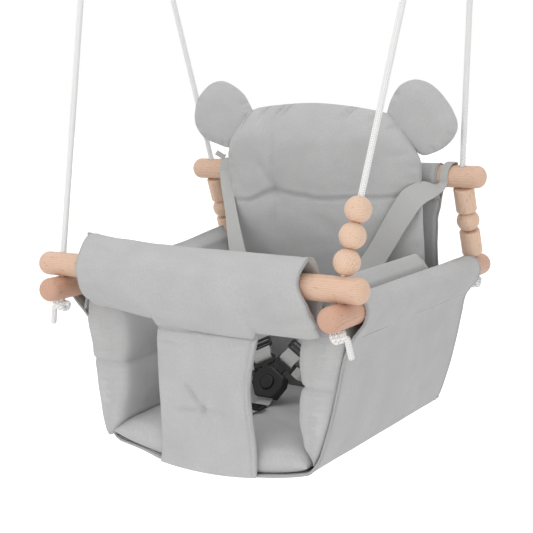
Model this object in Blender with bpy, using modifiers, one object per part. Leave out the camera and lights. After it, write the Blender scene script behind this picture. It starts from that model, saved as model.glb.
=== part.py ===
"""A baby swing seat: a cloth bucket on four beech bars, hung from two rings by four ropes.

Metres, +Z up, -Y to the front, +X to the right of someone who looks at the front.
The words left and right in names are that viewer's.
The origin is the middle of the swing axis, the line through the lowest wire of both rings.
Most pieces are placed in the seat frame, whose origin lies at the front bar's height.
"""

import bpy
import bmesh
from math import cos, exp, pi, radians, sin, sqrt
from mathutils import Matrix, Vector

# Clearance between pieces that touch
GAP = 0.0003

# Hanging
HANG_HEIGHT = 0.765
HANG_BACK = 0.008
RING_HALF_SPACING = 0.2733
RING_DIAMETER = 0.036
RING_WIRE_DIAMETER = 0.006
TOP_KNOT_DROP = 0.030
TOP_KNOT_DIAMETER = 0.026
TOP_KNOT_HEIGHT = 0.024
TOP_ROPE_HALF_SPACING = 0.0042
ROPE_DIAMETER = 0.0076

# Bars
BAR_DIAMETER = 0.030
BAR_LENGTH = 0.466
BAR_HOLE_INSET = 0.033
BAR_END_ROUNDING = 0.012
BORE_DIAMETER = 0.0096
FRONT_BAR_Y = -0.199
ARM_FRONT_HOLE_Y = -0.202
STACK_LEAN = radians(21.5)

# Turned wood on the ropes
BEAD_DIAMETER = 0.0308
SPACER_DIAMETER = 0.028
SPACER_LENGTH = 0.0355
SPACER_CHAMFER = 0.0025

# Knots under the arm bars
KNOT_DIAMETER = 0.020
KNOT_HEIGHT = 0.0135
KNOT_TAIL_LENGTH = 0.022

# Cloth sling
CLOTH = 0.0018
SLING_FRONT_Y = -0.168
SLING_BACK_INSET = 0.012
SLING_BOTTOM_Z = -0.245
SLING_BOTTOM_SAG = 0.020
SLING_BOTTOM_HALF = 0.150
SLING_CORNER_HALF = 0.151
SLEEVE_STITCH_DROP = 0.030
BACK_SLEEVE_HALF = 0.163
BACK_PANEL_HALF = 0.155
BACK_CORNER_LIFT = 0.0092

# Front guard and crotch panel
GUARD_LENGTH = 0.330
GUARD_TOP = 0.040
GUARD_BOTTOM = -0.060
GUARD_FRONT = 0.025
GUARD_BACK = 0.023
GUARD_LEAN = 0.012
CROTCH_WIDTH = 0.144
CROTCH_THICKNESS = 0.013
CROTCH_TOP_Y = -0.184
CROTCH_BOTTOM_Y = -0.179
CROTCH_TUFT_Z = -0.167

# Cushions
BACK_WIDTH = 0.302
BACK_THICKNESS = 0.044
BACK_TOP_Z = 0.196
BACK_BOTTOM_Z = -0.196
BACK_CORNER = 0.080
BACK_CHANNEL_Z = 0.064
SIDE_THICKNESS = 0.0245
SEAT_PRESS = 0.0015
SEAT_THICKNESS = 0.046
SEAT_REAR_INSET = 0.068
SEAT_EDGE_LIFT = 0.006
SIDE_REAR_INSET = 0.090
SIDE_PRESS = 0.0008
SIDE_CHANNEL_Z = -0.127
EAR_DIAMETER = 0.098
EAR_THICKNESS = 0.018
EAR_OVERHANG = 0.005
EAR_BEHIND = 0.0024
EAR_DROP = 0.015

# Harness
WEBBING_WIDTH = 0.025
WEBBING = 0.0016
STRAP_GATHER = 0.86
STRAP_BESIDE_SLEEVE = 0.0115
STRAP_SLACK = 0.004
STRAP_SLACK_LEAN = 0.007
TAPE_WIDTH = 0.0064
TAPE_LENGTH = 0.014
BUCKLE_Y = -0.024
BUCKLE_Z = -0.172
BUCKLE_WIDTH = 0.048
BUCKLE_SHOULDER = 0.020
BUCKLE_FOOT = 0.020
BUCKLE_FOOT_WIDTH = 0.028
BUCKLE_THICKNESS = 0.016
BUTTON_DIAMETER = 0.020
BUTTON_HEIGHT = 0.0042
BUTTON_PROUD = 0.0018
BUTTON_TRAVEL = 0.0015
TONGUE_THICKNESS = 0.004
TONGUE_STEM_WIDTH = 0.0094
SOCKET_WALL = 0.0012
TONGUE_HEAD_FROM = 0.0276
TONGUE_HEAD_TO = 0.0416
TONGUE_HEAD_WIDTH = 0.032
SLOT_PLAY = 0.0005
TRIGLIDE_FROM_BUCKLE = 0.060
TRIGLIDE_HEIGHT = 0.014
TRIGLIDE_THICKNESS = 0.003
SLIDER_HEIGHT = 0.020
SLIDER_Y = -0.066
STRAP_STANDOFF = 0.0052

# Sizes worked out from the ones above
BAR_R = BAR_DIAMETER / 2
BORE_R = BORE_DIAMETER / 2
ROPE_R = ROPE_DIAMETER / 2
BEAD_R = BEAD_DIAMETER / 2
HOLE_X = BAR_LENGTH / 2 - BAR_HOLE_INSET
HOLE_SPACING = 2 * HOLE_X
BEAD_HALF_HEIGHT = sqrt(BEAD_R ** 2 - BORE_R ** 2)
ARM_Z = -(BAR_R + sqrt(BAR_R ** 2 - BORE_R ** 2) + GAP)
ARM_CENTRE_Y = ARM_FRONT_HOLE_Y + HOLE_SPACING / 2
ARM_BACK_HOLE_Y = ARM_FRONT_HOLE_Y + HOLE_SPACING
SLING_BACK_Y = ARM_BACK_HOLE_Y - SLING_BACK_INSET
SIDE_INNER_X = SLING_BOTTOM_HALF - SIDE_THICKNESS
SEAT_WIDTH = 2 * (SIDE_INNER_X + SEAT_PRESS)
SEAT_REAR_Y = SLING_BACK_Y - SEAT_REAR_INSET
SIDE_REAR_Y = SLING_BACK_Y - SIDE_REAR_INSET
EAR_X = BACK_WIDTH / 2 + EAR_OVERHANG
EAR_Z = BACK_TOP_Z - EAR_DROP
STRAP_BAR_X = BACK_SLEEVE_HALF + STRAP_BESIDE_SLEEVE
STACK_UP = Vector((0, -sin(STACK_LEAN), cos(STACK_LEAN)))
SPACER_FLAT_R = SPACER_DIAMETER / 2 - SPACER_CHAMFER
STACK_FOOT = (BAR_R + GAP + SPACER_FLAT_R * sin(STACK_LEAN)) / cos(STACK_LEAN)
STACK_BEAD = STACK_FOOT + SPACER_LENGTH + GAP + BEAD_HALF_HEIGHT
STACK_UPPER = STACK_BEAD + BEAD_HALF_HEIGHT + GAP
STACK_LENGTH = STACK_UPPER + SPACER_LENGTH + GAP + BAR_R
BACK_BAR = Vector((0, ARM_BACK_HOLE_Y, ARM_Z)) + STACK_UP * STACK_LENGTH
FRONT_BAR = Vector((0, FRONT_BAR_Y, 0))
SLEEVE_REAR_Y = (ARM_BACK_HOLE_Y - (STACK_FOOT + SPACER_CHAMFER) * sin(STACK_LEAN)
                 - SPACER_DIAMETER / 2 * cos(STACK_LEAN) - CLOTH)
SLEEVE_STEP = radians(22)
SLEEVE_INNER_R = (BAR_R + GAP) / cos(SLEEVE_STEP / 2)
SLEEVE_OUTER_R = SLEEVE_INNER_R + CLOTH / cos(SLEEVE_STEP / 2)
BUCKLE = Vector((0, BUCKLE_Y, BUCKLE_Z))
STRAP_RING_R = BAR_R + GAP + WEBBING
STRAP_FOOT = Vector((STRAP_BAR_X, BACK_BAR.y - STRAP_RING_R, BACK_BAR.z - 0.004))
BUCKLE_UP = Vector((0, STRAP_FOOT.y - BUCKLE.y, STRAP_FOOT.z - BUCKLE.z)).normalized()
BUCKLE_OUT = Vector((0, -BUCKLE_UP.z, BUCKLE_UP.y))


def clear_scene():
    for obj in list(bpy.data.objects):
        bpy.data.objects.remove(obj, do_unlink=True)


def collection(name, hidden=False):
    """A collection of the scene, made once; the cutters' one is kept out of renders."""
    made = bpy.data.collections.get(name)
    if made is None:
        made = bpy.data.collections.new(name)
        bpy.context.scene.collection.children.link(made)
    made.hide_render = hidden
    return made


def srgb(channel):
    return channel / 12.92 if channel <= 0.04045 else ((channel + 0.055) / 1.055) ** 2.4


def material(name, colour, roughness, metallic=0.0):
    """A plain Principled material whose colour is written as an sRGB hex string."""
    made = bpy.data.materials.new(name)
    made.use_nodes = True
    shader = made.node_tree.nodes["Principled BSDF"]
    channels = [srgb(int(colour[i:i + 2], 16) / 255) for i in (0, 2, 4)]
    shader.inputs["Base Color"].default_value = (*channels, 1.0)
    shader.inputs["Roughness"].default_value = roughness
    shader.inputs["Metallic"].default_value = metallic
    return made


def empty(name, location, parent=None):
    made = bpy.data.objects.new(name, None)
    made.location = location
    made.empty_display_size = 0.02
    collection("baby_swing_seat").objects.link(made)
    made.parent = parent
    return made


def add(name, data, parent, look, location=(0, 0, 0), smooth=True):
    """A named object in the part's collection with its own material."""
    made = bpy.data.objects.new(name, data)
    collection("baby_swing_seat").objects.link(made)
    made.parent = parent
    made.location = location
    data.materials.append(material(name, *look))
    if smooth and hasattr(data, "polygons"):
        data.polygons.foreach_set("use_smooth", [True] * len(data.polygons))
    return made


def hide_cutter(cutter):
    for home in list(cutter.users_collection):
        home.objects.unlink(cutter)
    collection("cutters", hidden=True).objects.link(cutter)
    cutter.display_type = "WIRE"
    cutter.hide_render = True


def cut(target, cutter):
    boolean = target.modifiers.new("cut " + cutter.name, "BOOLEAN")
    boolean.operation = "DIFFERENCE"
    boolean.solver = "EXACT"
    boolean.object = cutter


def subdivide(obj, levels=1):
    surface = obj.modifiers.new("subdivision", "SUBSURF")
    surface.levels = levels
    surface.render_levels = levels


def mesh_from(bm, name, closed=True):
    """The finished mesh, with its faces turned outward."""
    bmesh.ops.recalc_face_normals(bm, faces=bm.faces[:])
    if closed and bm.calc_volume(signed=True) < 0:
        bmesh.ops.reverse_faces(bm, faces=bm.faces[:])
    mesh = bpy.data.meshes.new(name)
    bm.to_mesh(mesh)
    bm.free()
    return mesh


def tube(name, points, radius, parent, look, resolution=2):
    """A round rod or rope along straight stretches, with filled ends."""
    curve = bpy.data.curves.new(name, "CURVE")
    curve.dimensions = "3D"
    curve.bevel_depth = radius
    curve.bevel_resolution = resolution
    curve.use_fill_caps = True
    spline = curve.splines.new("POLY")
    spline.points.add(len(points) - 1)
    for place, point in zip(spline.points, points):
        place.co = (*point, 1.0)
    return add(name, curve, parent, look)


def made_mesh(obj):
    """The same object as a mesh, so that it can be cut or can cut."""
    bpy.context.view_layer.update()
    solid = bpy.data.meshes.new_from_object(obj.evaluated_get(bpy.context.evaluated_depsgraph_get()))
    bm = bmesh.new()
    bm.from_mesh(solid)
    bmesh.ops.remove_doubles(bm, verts=bm.verts[:], dist=1e-6)
    bm.to_mesh(solid)
    bm.free()
    name = obj.name
    parent = obj.parent
    world = obj.matrix_world.copy()
    homes = list(obj.users_collection)
    bpy.data.objects.remove(obj, do_unlink=True)
    twin = bpy.data.objects.new(name, solid)
    for home in homes:
        home.objects.link(twin)
    twin.parent = parent
    twin.matrix_world = world
    return twin


def turned(name, profile, parent, look, location=(0, 0, 0), axis=(0, 0, 1), steps=18):
    """A lathe-turned solid: the profile's (radius, height) pairs swept about an axis."""
    mesh = bpy.data.meshes.new(name)
    ring = profile[0][0] > 1e-9
    edges = [(i, i + 1) for i in range(len(profile) - 1)]
    if ring:
        edges.append((len(profile) - 1, 0))
    mesh.from_pydata([(r, 0, h) for r, h in profile], edges, [])
    made = add(name, mesh, parent, look, location)
    made.rotation_mode = "QUATERNION"
    made.rotation_quaternion = Vector((0, 0, 1)).rotation_difference(Vector(axis))
    screw = made.modifiers.new("turned", "SCREW")
    screw.steps = steps
    screw.render_steps = steps
    screw.use_merge_vertices = True
    screw.merge_threshold = 0.00001
    screw.use_smooth_shade = True
    return made


def arc(centre_r, centre_h, radius, start, end, count):
    """Points of a profile's round stretch; angles in degrees from the outward direction."""
    angles = [radians(start + (end - start) * i / count) for i in range(count + 1)]
    return [(centre_r + radius * cos(a), centre_h + radius * sin(a)) for a in angles]


def smooth_table(value, table):
    """A smooth curve through a few (place, size) pairs."""
    if value <= table[0][0]:
        return table[0][1]
    for (a, low), (b, high) in zip(table, table[1:]):
        if value <= b:
            t = (value - a) / (b - a)
            return low + (high - low) * t * t * (3 - 2 * t)
    return table[-1][1]


def crown(place, power=4.0, least=0.12):
    """How full a cushion is from its middle (place 0) to its seam (place 1)."""
    return least + (1 - least) * (1 - min(abs(place), 1.0) ** power) ** 0.5


def dent(distance, width):
    return exp(-(distance / width) ** 2)


def pillow(name, cells_u, cells_v, place, parent, look, levels=1):
    """A stuffed solid: a cage of cells whose corners place(u, v, side) sets, then subdivided."""
    bm = bmesh.new()
    bmesh.ops.create_cube(bm, size=2.0)
    for axis, cells in ((0, cells_u), (1, cells_v)):
        along = [e for e in bm.edges if abs(e.verts[0].co[axis] - e.verts[1].co[axis]) > 1e-4]
        bmesh.ops.subdivide_edges(bm, edges=along, cuts=cells - 1)
    for vert in bm.verts:
        vert.co = place(vert.co.x, vert.co.y, 1 if vert.co.z > 0 else -1)
    made = add(name, mesh_from(bm, name), parent, look)
    subdivide(made, levels)
    return made


def sheet(name, sections, parent, look, thickness=CLOTH):
    """A cloth panel: each section is a row of points, and neighbours are joined."""
    bm = bmesh.new()
    row = [bm.verts.new(point) for point in sections[0]]
    for a, b in zip(row, row[1:]):
        bm.edges.new((a, b))
    for section in sections[1:]:
        rim = [e for e in bm.edges if e.verts[0] in row and e.verts[1] in row]
        grown = bmesh.ops.extrude_edge_only(bm, edges=rim)
        moved = [v for v in grown["geom"] if isinstance(v, bmesh.types.BMVert)]
        fresh = []
        for old in row:
            twin = min(moved, key=lambda v: (v.co - old.co).length)
            moved.remove(twin)
            fresh.append(twin)
        for vert, point in zip(fresh, section):
            vert.co = point
        row = fresh
    made = add(name, mesh_from(bm, name, closed=False), parent, look)
    solid = made.modifiers.new("cloth", "SOLIDIFY")
    solid.thickness = thickness
    solid.offset = 0
    solid.use_even_offset = True
    return made


def box(name, size, parent, look, bevel=0.0, segments=2):
    """A box about its own origin, with its edges rounded."""
    bm = bmesh.new()
    bmesh.ops.create_cube(bm, size=1.0)
    bmesh.ops.scale(bm, vec=size, verts=bm.verts[:])
    made = add(name, mesh_from(bm, name), parent, look, smooth=False)
    if bevel:
        edge = made.modifiers.new("rounded", "BEVEL")
        edge.width = bevel
        edge.segments = segments
    return made


def orient(obj, origin, x_axis, y_axis):
    """Sets an object down with its own X and Y along two square directions."""
    x_axis = Vector(x_axis).normalized()
    y_axis = Vector(y_axis).normalized()
    z_axis = x_axis.cross(y_axis)
    turn = Matrix((x_axis, y_axis, z_axis)).transposed()
    obj.rotation_mode = "QUATERNION"
    obj.rotation_quaternion = turn.to_quaternion()
    obj.location = origin
    return obj


BEECH = ("E0BF9F", 0.5)
CANVAS = ("BDBDBD", 0.9)
ROPE = ("F2F2F0", 0.8)
PLASTIC = ("222222", 0.4)
STEEL = ("C8C8C8", 0.3, 1.0)


def side_name(side):
    return "right" if side > 0 else "left"


# Ropes

def rope_start(side, strand):
    """Where a rope leaves the top knot; strand is -1 for the front rope and 1 for the back one."""
    foot = HANG_HEIGHT - TOP_KNOT_DROP - TOP_KNOT_HEIGHT / 2 - GAP - 0.3 * ROPE_R
    return Vector((side * RING_HALF_SPACING, HANG_BACK + strand * TOP_ROPE_HALF_SPACING, foot))


def front_rope_points(side):
    x = side * HOLE_X
    foot = ARM_Z - BAR_R
    return [rope_start(side, -1), Vector((x, FRONT_BAR_Y, 0)), Vector((x, ARM_FRONT_HOLE_Y, ARM_Z)),
            Vector((x, ARM_FRONT_HOLE_Y, foot))]


def back_rope_points(side):
    x = side * HOLE_X
    foot = ARM_Z - BAR_R
    return [rope_start(side, 1), Vector((x, BACK_BAR.y, BACK_BAR.z)), Vector((x, ARM_BACK_HOLE_Y, ARM_Z)),
            Vector((x, ARM_BACK_HOLE_Y, foot))]


def bore_cutter(name, points, seat):
    """A drill along the rope's own way through the bars, longer at both ends."""
    upper = points[1] + (points[0] - points[1]).normalized() * 2 * BAR_DIAMETER
    lower = points[-1] - Vector((0, 0, BAR_R))
    drill = made_mesh(tube(name, [upper, *points[1:-1], lower], BORE_R, seat, BEECH, 3))
    hide_cutter(drill)
    return drill


# Wood

def bar_profile():
    """Half of a bar's outline: a full round shaft with softly rounded ends."""
    half = BAR_LENGTH / 2
    flat = BAR_R - BAR_END_ROUNDING
    end = arc(flat, half - BAR_END_ROUNDING, BAR_END_ROUNDING, 90, 0, 3)
    return [(0, half), *end, *[(r, -h) for r, h in reversed(end)], (0, -half)]


def bar(name, centre, axis, seat, drills):
    made = turned(name, bar_profile(), seat, BEECH, centre, axis, steps=22)
    for drill in drills:
        cut(made, drill)
    return made


def bead_profile():
    edge = 90 - 57.2958 * 2 * BORE_R / BEAD_DIAMETER * 1.02
    ball = arc(0, 0, BEAD_R, edge, -edge, 7)
    return [(BORE_R, ball[0][1]), *ball, (BORE_R, ball[-1][1])]


def spacer_profile():
    half = SPACER_LENGTH / 2
    outer = SPACER_DIAMETER / 2
    return [(BORE_R, half), (SPACER_FLAT_R, half), (outer, half - SPACER_CHAMFER),
            (outer, -half + SPACER_CHAMFER), (SPACER_FLAT_R, -half), (BORE_R, -half)]


def front_beads(seat):
    """Three balls threaded on the right-hand front rope, resting on the bar and on each other."""
    points = front_rope_points(1)
    up = (points[0] - points[1]).normalized()
    place = points[1] + up * (BAR_R + BEAD_R + GAP) / sqrt(1 - up.x ** 2)
    for name in ("bead_lower", "bead_middle", "bead_upper"):
        turned(name, bead_profile(), seat, BEECH, place, up)
        place = place + up * (2 * BEAD_HALF_HEIGHT + GAP)


def spacers(side, seat):
    """Cylinder, ball and cylinder threaded between the back bar and the arm bar."""
    foot = Vector((side * HOLE_X, ARM_BACK_HOLE_Y, ARM_Z))
    half = SPACER_LENGTH / 2
    name = side_name(side)
    turned("spacer_lower_" + name, spacer_profile(), seat, BEECH,
           foot + STACK_UP * (STACK_FOOT + half), STACK_UP)
    turned("spacer_ball_" + name, bead_profile(), seat, BEECH, foot + STACK_UP * STACK_BEAD, STACK_UP)
    turned("spacer_upper_" + name, spacer_profile(), seat, BEECH,
           foot + STACK_UP * (STACK_UPPER + half), STACK_UP)


# Knots

def lump(width, height):
    """Outline of a knot's body: flat above and below, full at the sides."""
    flat = width / 2 * 0.62
    side = arc(0, 0, 1, 68, -68, 5)
    scale = (width / 2 - flat) / (1 - cos(radians(68)))
    waist = [(flat + (r - cos(radians(68))) * scale, h / sin(radians(68)) * height / 2) for r, h in side]
    return [(0, height / 2), *waist, (0, -height / 2)]


def end_knot(name, side, hole_y, lean, seat):
    """A stopper knot pulled up under an arm bar, with the rope's cut end below it."""
    centre = Vector((side * HOLE_X, hole_y, ARM_Z - BAR_R - GAP - KNOT_HEIGHT / 2))
    body = turned(name, lump(KNOT_DIAMETER, KNOT_HEIGHT), seat, ROPE, centre, steps=12)
    start = centre + Vector((0, 0, -KNOT_HEIGHT * 0.2))
    tail_way = Vector(lean).normalized()
    end = start + tail_way * (KNOT_TAIL_LENGTH + KNOT_HEIGHT * 0.3)
    tail = made_mesh(tube(name + "_tail_form", [start, end], ROPE_R, seat, ROPE, 1))
    hide_cutter(tail)
    join = body.modifiers.new("tail", "BOOLEAN")
    join.operation = "UNION"
    join.solver = "EXACT"
    join.object = tail
    return body


def top_fittings(side, hang, seat):
    """A ring, the rope's bight over its lowest wire, and the knot that gathers both ropes."""
    name = side_name(side)
    wire = RING_WIRE_DIAMETER / 2
    ring_r = RING_DIAMETER / 2
    bpy.ops.mesh.primitive_torus_add(major_segments=24, minor_segments=6, major_radius=ring_r,
                                     minor_radius=wire, rotation=(pi / 2, 0, 0),
                                     location=(side * RING_HALF_SPACING, 0, ring_r))
    ring = bpy.context.object
    ring.name = "ring_" + name
    ring.data.name = ring.name
    for home in list(ring.users_collection):
        home.objects.unlink(ring)
    collection("baby_swing_seat").objects.link(ring)
    ring.data.materials.append(material(ring.name, *STEEL))
    ring.parent = hang
    knot_top = HANG_HEIGHT - TOP_KNOT_DROP + TOP_KNOT_HEIGHT / 2 + GAP
    reach = wire + ROPE_R + GAP
    x = side * RING_HALF_SPACING
    turn = [(x, HANG_BACK + reach * cos(a), HANG_HEIGHT + reach * sin(a))
            for a in (pi * i / 8 for i in range(9))]
    loop = [(x, HANG_BACK + reach, knot_top), *turn, (x, HANG_BACK - reach, knot_top)]
    tube("rope_bight_" + name, loop, ROPE_R, seat, ROPE, 1)
    centre = (x, HANG_BACK, HANG_HEIGHT - TOP_KNOT_DROP)
    turned("top_knot_" + name, lump(TOP_KNOT_DIAMETER, TOP_KNOT_HEIGHT), seat, ROPE, centre, steps=12)


# Cloth

def around_bar():
    """Points (across, up) of cloth lying over a bar, from its one side to the other."""
    reach = (SLEEVE_INNER_R + SLEEVE_OUTER_R) / 2
    angles = [pi / 2 - SLEEVE_STEP * i for i in range(-5, 6)]
    return [(reach * cos(a), reach * sin(a)) for a in angles]


def side_slope():
    """The bucket's side below its sleeve: (height, distance from the middle) going up."""
    low, near = bottom_height(SLING_BOTTOM_HALF) + CLOTH + GAP, SLING_BOTTOM_HALF - 0.001
    high, far = ARM_Z - SLEEVE_STITCH_DROP - 0.004, HOLE_X - 0.003
    bulge = ((0.0, 0.0), (0.057, 0.104), (0.169, 0.240), (0.363, 0.4375), (0.600, 0.625),
             (0.856, 0.8125), (1.0, 1.0))
    return [(low + (high - low) * up, near + (far - near) * out) for up, out in bulge]


def side_room(z):
    """How far out a cushion may reach inside the bucket's side at a height."""
    slope = side_slope()
    reach = HOLE_X - SLEEVE_OUTER_R
    for (low, near), (high, far) in zip(slope, slope[1:]):
        if low <= z <= high:
            reach = min(reach, near + (far - near) * (z - low) / (high - low) - CLOTH)
    return min(reach, slope[0][1]) if z < slope[0][0] else reach


def side_panel(side, seat):
    """A sleeve round the arm bar that runs down as the bucket's side."""
    stitch = ARM_Z - SLEEVE_STITCH_DROP
    inner = [(HOLE_X - 0.0095, stitch), (HOLE_X - 0.0135, ARM_Z - 0.014)]
    over = [(HOLE_X + x, ARM_Z + z) for x, z in around_bar()]
    outer = [(HOLE_X + 0.0125, ARM_Z - 0.014), *[(x, z) for z, x in reversed(side_slope())]]
    profile = inner + over + outer
    rear = ((stitch - 0.035, SLING_BACK_Y), (stitch, SLEEVE_REAR_Y))
    sections = []
    for share in (0, 0.25, 0.5, 0.75, 1):
        rows = [SLING_FRONT_Y + (smooth_table(z, rear) - SLING_FRONT_Y) * share for x, z in profile]
        sections.append([(side * x, y, z) for (x, z), y in zip(profile, rows)])
    sheet("sling_side_" + side_name(side), sections, seat, CANVAS)


def bottom_height(x):
    return SLING_BOTTOM_Z + SLING_BOTTOM_SAG * (x / SLING_BOTTOM_HALF) ** 2


def bottom_panel(seat):
    """The bucket's floor, sagging between the two sides."""
    across = [SLING_BOTTOM_HALF * (i / 6 - 1) for i in range(13)]
    front = CROTCH_BOTTOM_Y + crown(1) * CROTCH_THICKNESS / 2 + GAP
    rows = [front + (SLING_BACK_Y - front) * i / 4 for i in range(5)]
    sections = [[(x, y, bottom_height(x)) for x in across] for y in rows]
    sheet("sling_bottom", sections, seat, CANVAS)


def back_centre_y(z):
    """Y of the back cushion's middle surface at a height."""
    rest = BACK_BAR.y - SLEEVE_OUTER_R - GAP - BACK_THICKNESS / 2
    foot = SLING_BACK_Y - CLOTH - BACK_THICKNESS / 2 - 0.004
    table = ((BACK_BOTTOM_Z - 0.004, foot), (BACK_CHANNEL_Z - 0.014, rest), (BACK_TOP_Z - 0.056, rest),
             (BACK_TOP_Z, rest + 0.008))
    return smooth_table(z, table)


def back_panel(seat):
    """A sleeve round the back bar that runs down behind the back cushion to the floor."""
    stitch = BACK_BAR.z - SLEEVE_STITCH_DROP
    inner = [(BACK_BAR.y - 0.004, stitch), (BACK_BAR.y - 0.0135, BACK_BAR.z - 0.014)]
    over = [(BACK_BAR.y + y, BACK_BAR.z + z) for y, z in around_bar()]
    outer = [(BACK_BAR.y + 0.0125, BACK_BAR.z - 0.014), (BACK_BAR.y + 0.003, stitch - 0.004),
             *[(BACK_BAR.y + (SLING_BACK_Y - CLOTH - BACK_BAR.y) * back, SLING_BOTTOM_Z * down)
               for back, down in ((0.31, 0.0), (0.61, 0.327), (0.86, 0.653), (1.0, 0.873))]]
    profile = inner + over + outer
    foot = SLING_CORNER_HALF - 3 * CLOTH / 2
    half_width = ((SLING_BOTTOM_Z * 0.873, foot), (SLING_BOTTOM_Z / 2, BACK_PANEL_HALF),
                  (stitch - SLEEVE_STITCH_DROP, BACK_PANEL_HALF), (stitch, BACK_SLEEVE_HALF))
    sections = []
    for across in (-1, -0.5, 0, 0.5, 1):
        section = [(across * smooth_table(z, half_width), y, z) for y, z in profile]
        x, y, _ = section[-1]
        section[-1] = (x, y, bottom_height(x) + CLOTH + 2 * GAP + BACK_CORNER_LIFT * across ** 8)
        sections.append(section)
    sheet("sling_back", sections, seat, CANVAS)


def guard_outline(turn):
    """The padded guard's section round the front bar: (y, z) at an angle from the back."""
    y = cos(turn) * (GUARD_BACK if cos(turn) > 0 else GUARD_FRONT)
    z = sin(turn) * (GUARD_TOP if sin(turn) > 0 else -GUARD_BOTTOM)
    low = min(z, 0.0) / GUARD_BOTTOM
    y = y * (1 - 0.72 * low ** 2) + GUARD_LEAN * low ** 1.5
    if z > 0:
        y = y * (1 - 0.15 * (z / GUARD_TOP) ** 2)
    return FRONT_BAR_Y + y, z


def front_guard(seat):
    """The padded sleeve over the front bar, open at both ends."""
    bm = bmesh.new()
    around = 14
    bmesh.ops.create_cone(bm, cap_ends=True, segments=around, radius1=1, radius2=1, depth=2)
    along = [e for e in bm.edges if abs(e.verts[0].co.z - e.verts[1].co.z) > 1e-4]
    bmesh.ops.subdivide_edges(bm, edges=along, cuts=7)
    for vert in bm.verts:
        turn = Vector((vert.co.x, vert.co.y)).angle_signed(Vector((1, 0)), 0.0)
        y, z = guard_outline(turn)
        end = abs(vert.co.z) ** 6
        y = FRONT_BAR_Y + (y - FRONT_BAR_Y) * (1 - 0.14 * end)
        ripple = 1 - 0.03 * (1 - cos(5 * pi * vert.co.z)) / 2
        drawn = 1 - 0.04 * max(1 - abs(z) / GUARD_TOP, 0) ** 2
        x = vert.co.z * GUARD_LENGTH / 2 * drawn
        vert.co = Vector((x, y, z * ripple))
    guard = add("front_guard", mesh_from(bm, "front_guard"), seat, CANVAS)
    subdivide(guard)
    slot = BAR_R + GAP
    half = GUARD_LENGTH / 2 + 0.02
    outline = [(slot * cos(a), slot * sin(a)) for a in (pi * i / 12 for i in range(13))]
    middle = GUARD_LEAN / 2
    foot = [(middle - 0.004, -0.042), (middle + 0.002, -0.042)]
    outline = [*outline, (-slot, -0.010), *foot, (slot, -0.010)]
    hollow = bmesh.new()
    ring = [hollow.verts.new((-half, FRONT_BAR_Y + y, z)) for y, z in outline]
    face = hollow.faces.new(ring)
    grown = bmesh.ops.extrude_face_region(hollow, geom=[face])
    far = [v for v in grown["geom"] if isinstance(v, bmesh.types.BMVert)]
    bmesh.ops.translate(hollow, vec=(2 * half, 0, 0), verts=far)
    cutter = add("front_guard_hollow", mesh_from(hollow, "front_guard_hollow"), seat, CANVAS, smooth=False)
    hide_cutter(cutter)
    cut(guard, cutter)


def crotch_panel(seat):
    """The padded strip from the guard down to the bucket's floor, with one tuft."""
    top = GUARD_BOTTOM - GAP - 0.001
    bottom = bottom_height(0) + 0.002

    def place(u, v, face):
        z = bottom + (top - bottom) * (v + 1) / 2
        full = crown(u) * crown(v, 8, 0.3)
        tuft = dent(sqrt((u * CROTCH_WIDTH / 2) ** 2 + (z - CROTCH_TUFT_Z) ** 2), 0.018)
        half = CROTCH_THICKNESS / 2 * full * (1 - 0.55 * tuft)
        middle = CROTCH_BOTTOM_Y + (CROTCH_TOP_Y - CROTCH_BOTTOM_Y) * (v + 1) / 2
        waist = 1 - 0.04 * (1 - v * v)
        return Vector((u * CROTCH_WIDTH / 2 * waist, middle - face * half, z))

    pillow("crotch_panel", 5, 7, place, seat, CANVAS)


# Cushions

def side_cushion(side, seat):
    """A thick pad inside the bucket's side, with one channel along it."""
    inner = ((SLING_BOTTOM_Z * 0.898, SLING_BOTTOM_HALF - 0.007),
             (SLING_BOTTOM_Z * 0.80, SIDE_INNER_X + 0.0045), (SLING_BOTTOM_Z * 0.673, SIDE_INNER_X),
             (SLING_BOTTOM_Z * 0.408, SIDE_INNER_X), (SLING_BOTTOM_Z * 0.184, HOLE_X - 0.069),
             (-0.4 * BAR_DIAMETER, HOLE_X - 0.052), (0.002, HOLE_X - 0.036))
    top = ((-BAR_DIAMETER, 0.0), (-0.4 * BAR_DIAMETER, 0.003), (0.002, 0.014))
    front = SLING_FRONT_Y + 0.001
    low, high = inner[0][0], inner[-1][0]

    def place(u, v, face):
        z = low + (high - low) * (v + 1) / 2
        near = smooth_table(z, inner)
        thick = side_room(z) - GAP + SIDE_PRESS - smooth_table(z, top) - near
        middle = near + thick / 2
        full = crown(u, 8, 0.45)
        dip = 0.22 * dent(z - SIDE_CHANNEL_Z, 0.010) + 0.10 * dent(u, 0.18)
        x = middle + thick / 2 * full if face > 0 else middle - thick / 2 * (full - dip)
        y = front + (SIDE_REAR_Y - front) * (u + 1) / 2
        return Vector((side * x, y, z))

    pillow("side_cushion_" + side_name(side), 7, 9, place, seat, CANVAS)


def seat_cushion(seat):
    """The pad on the bucket's floor, with its crown on top."""
    front = SLING_FRONT_Y + 0.001

    def place(u, v, face):
        x = u * SEAT_WIDTH / 2
        y = front + (SEAT_REAR_Y - front) * (v + 1) / 2
        half = SEAT_THICKNESS / 2 * crown(u, 4, 0.30) * crown(v, 6, 0.30)
        floor = bottom_height(x) + CLOTH / 2 + GAP + SEAT_THICKNESS / 2
        lift = SEAT_EDGE_LIFT * u * u
        if face > 0:
            half *= 1 - 0.25 * dent(sqrt((abs(x) - 0.062) ** 2 + (y + 0.03) ** 2), 0.020)
        return Vector((x, y, floor + lift + face * half))

    pillow("seat_cushion", 8, 8, place, seat, CANVAS)


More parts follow.
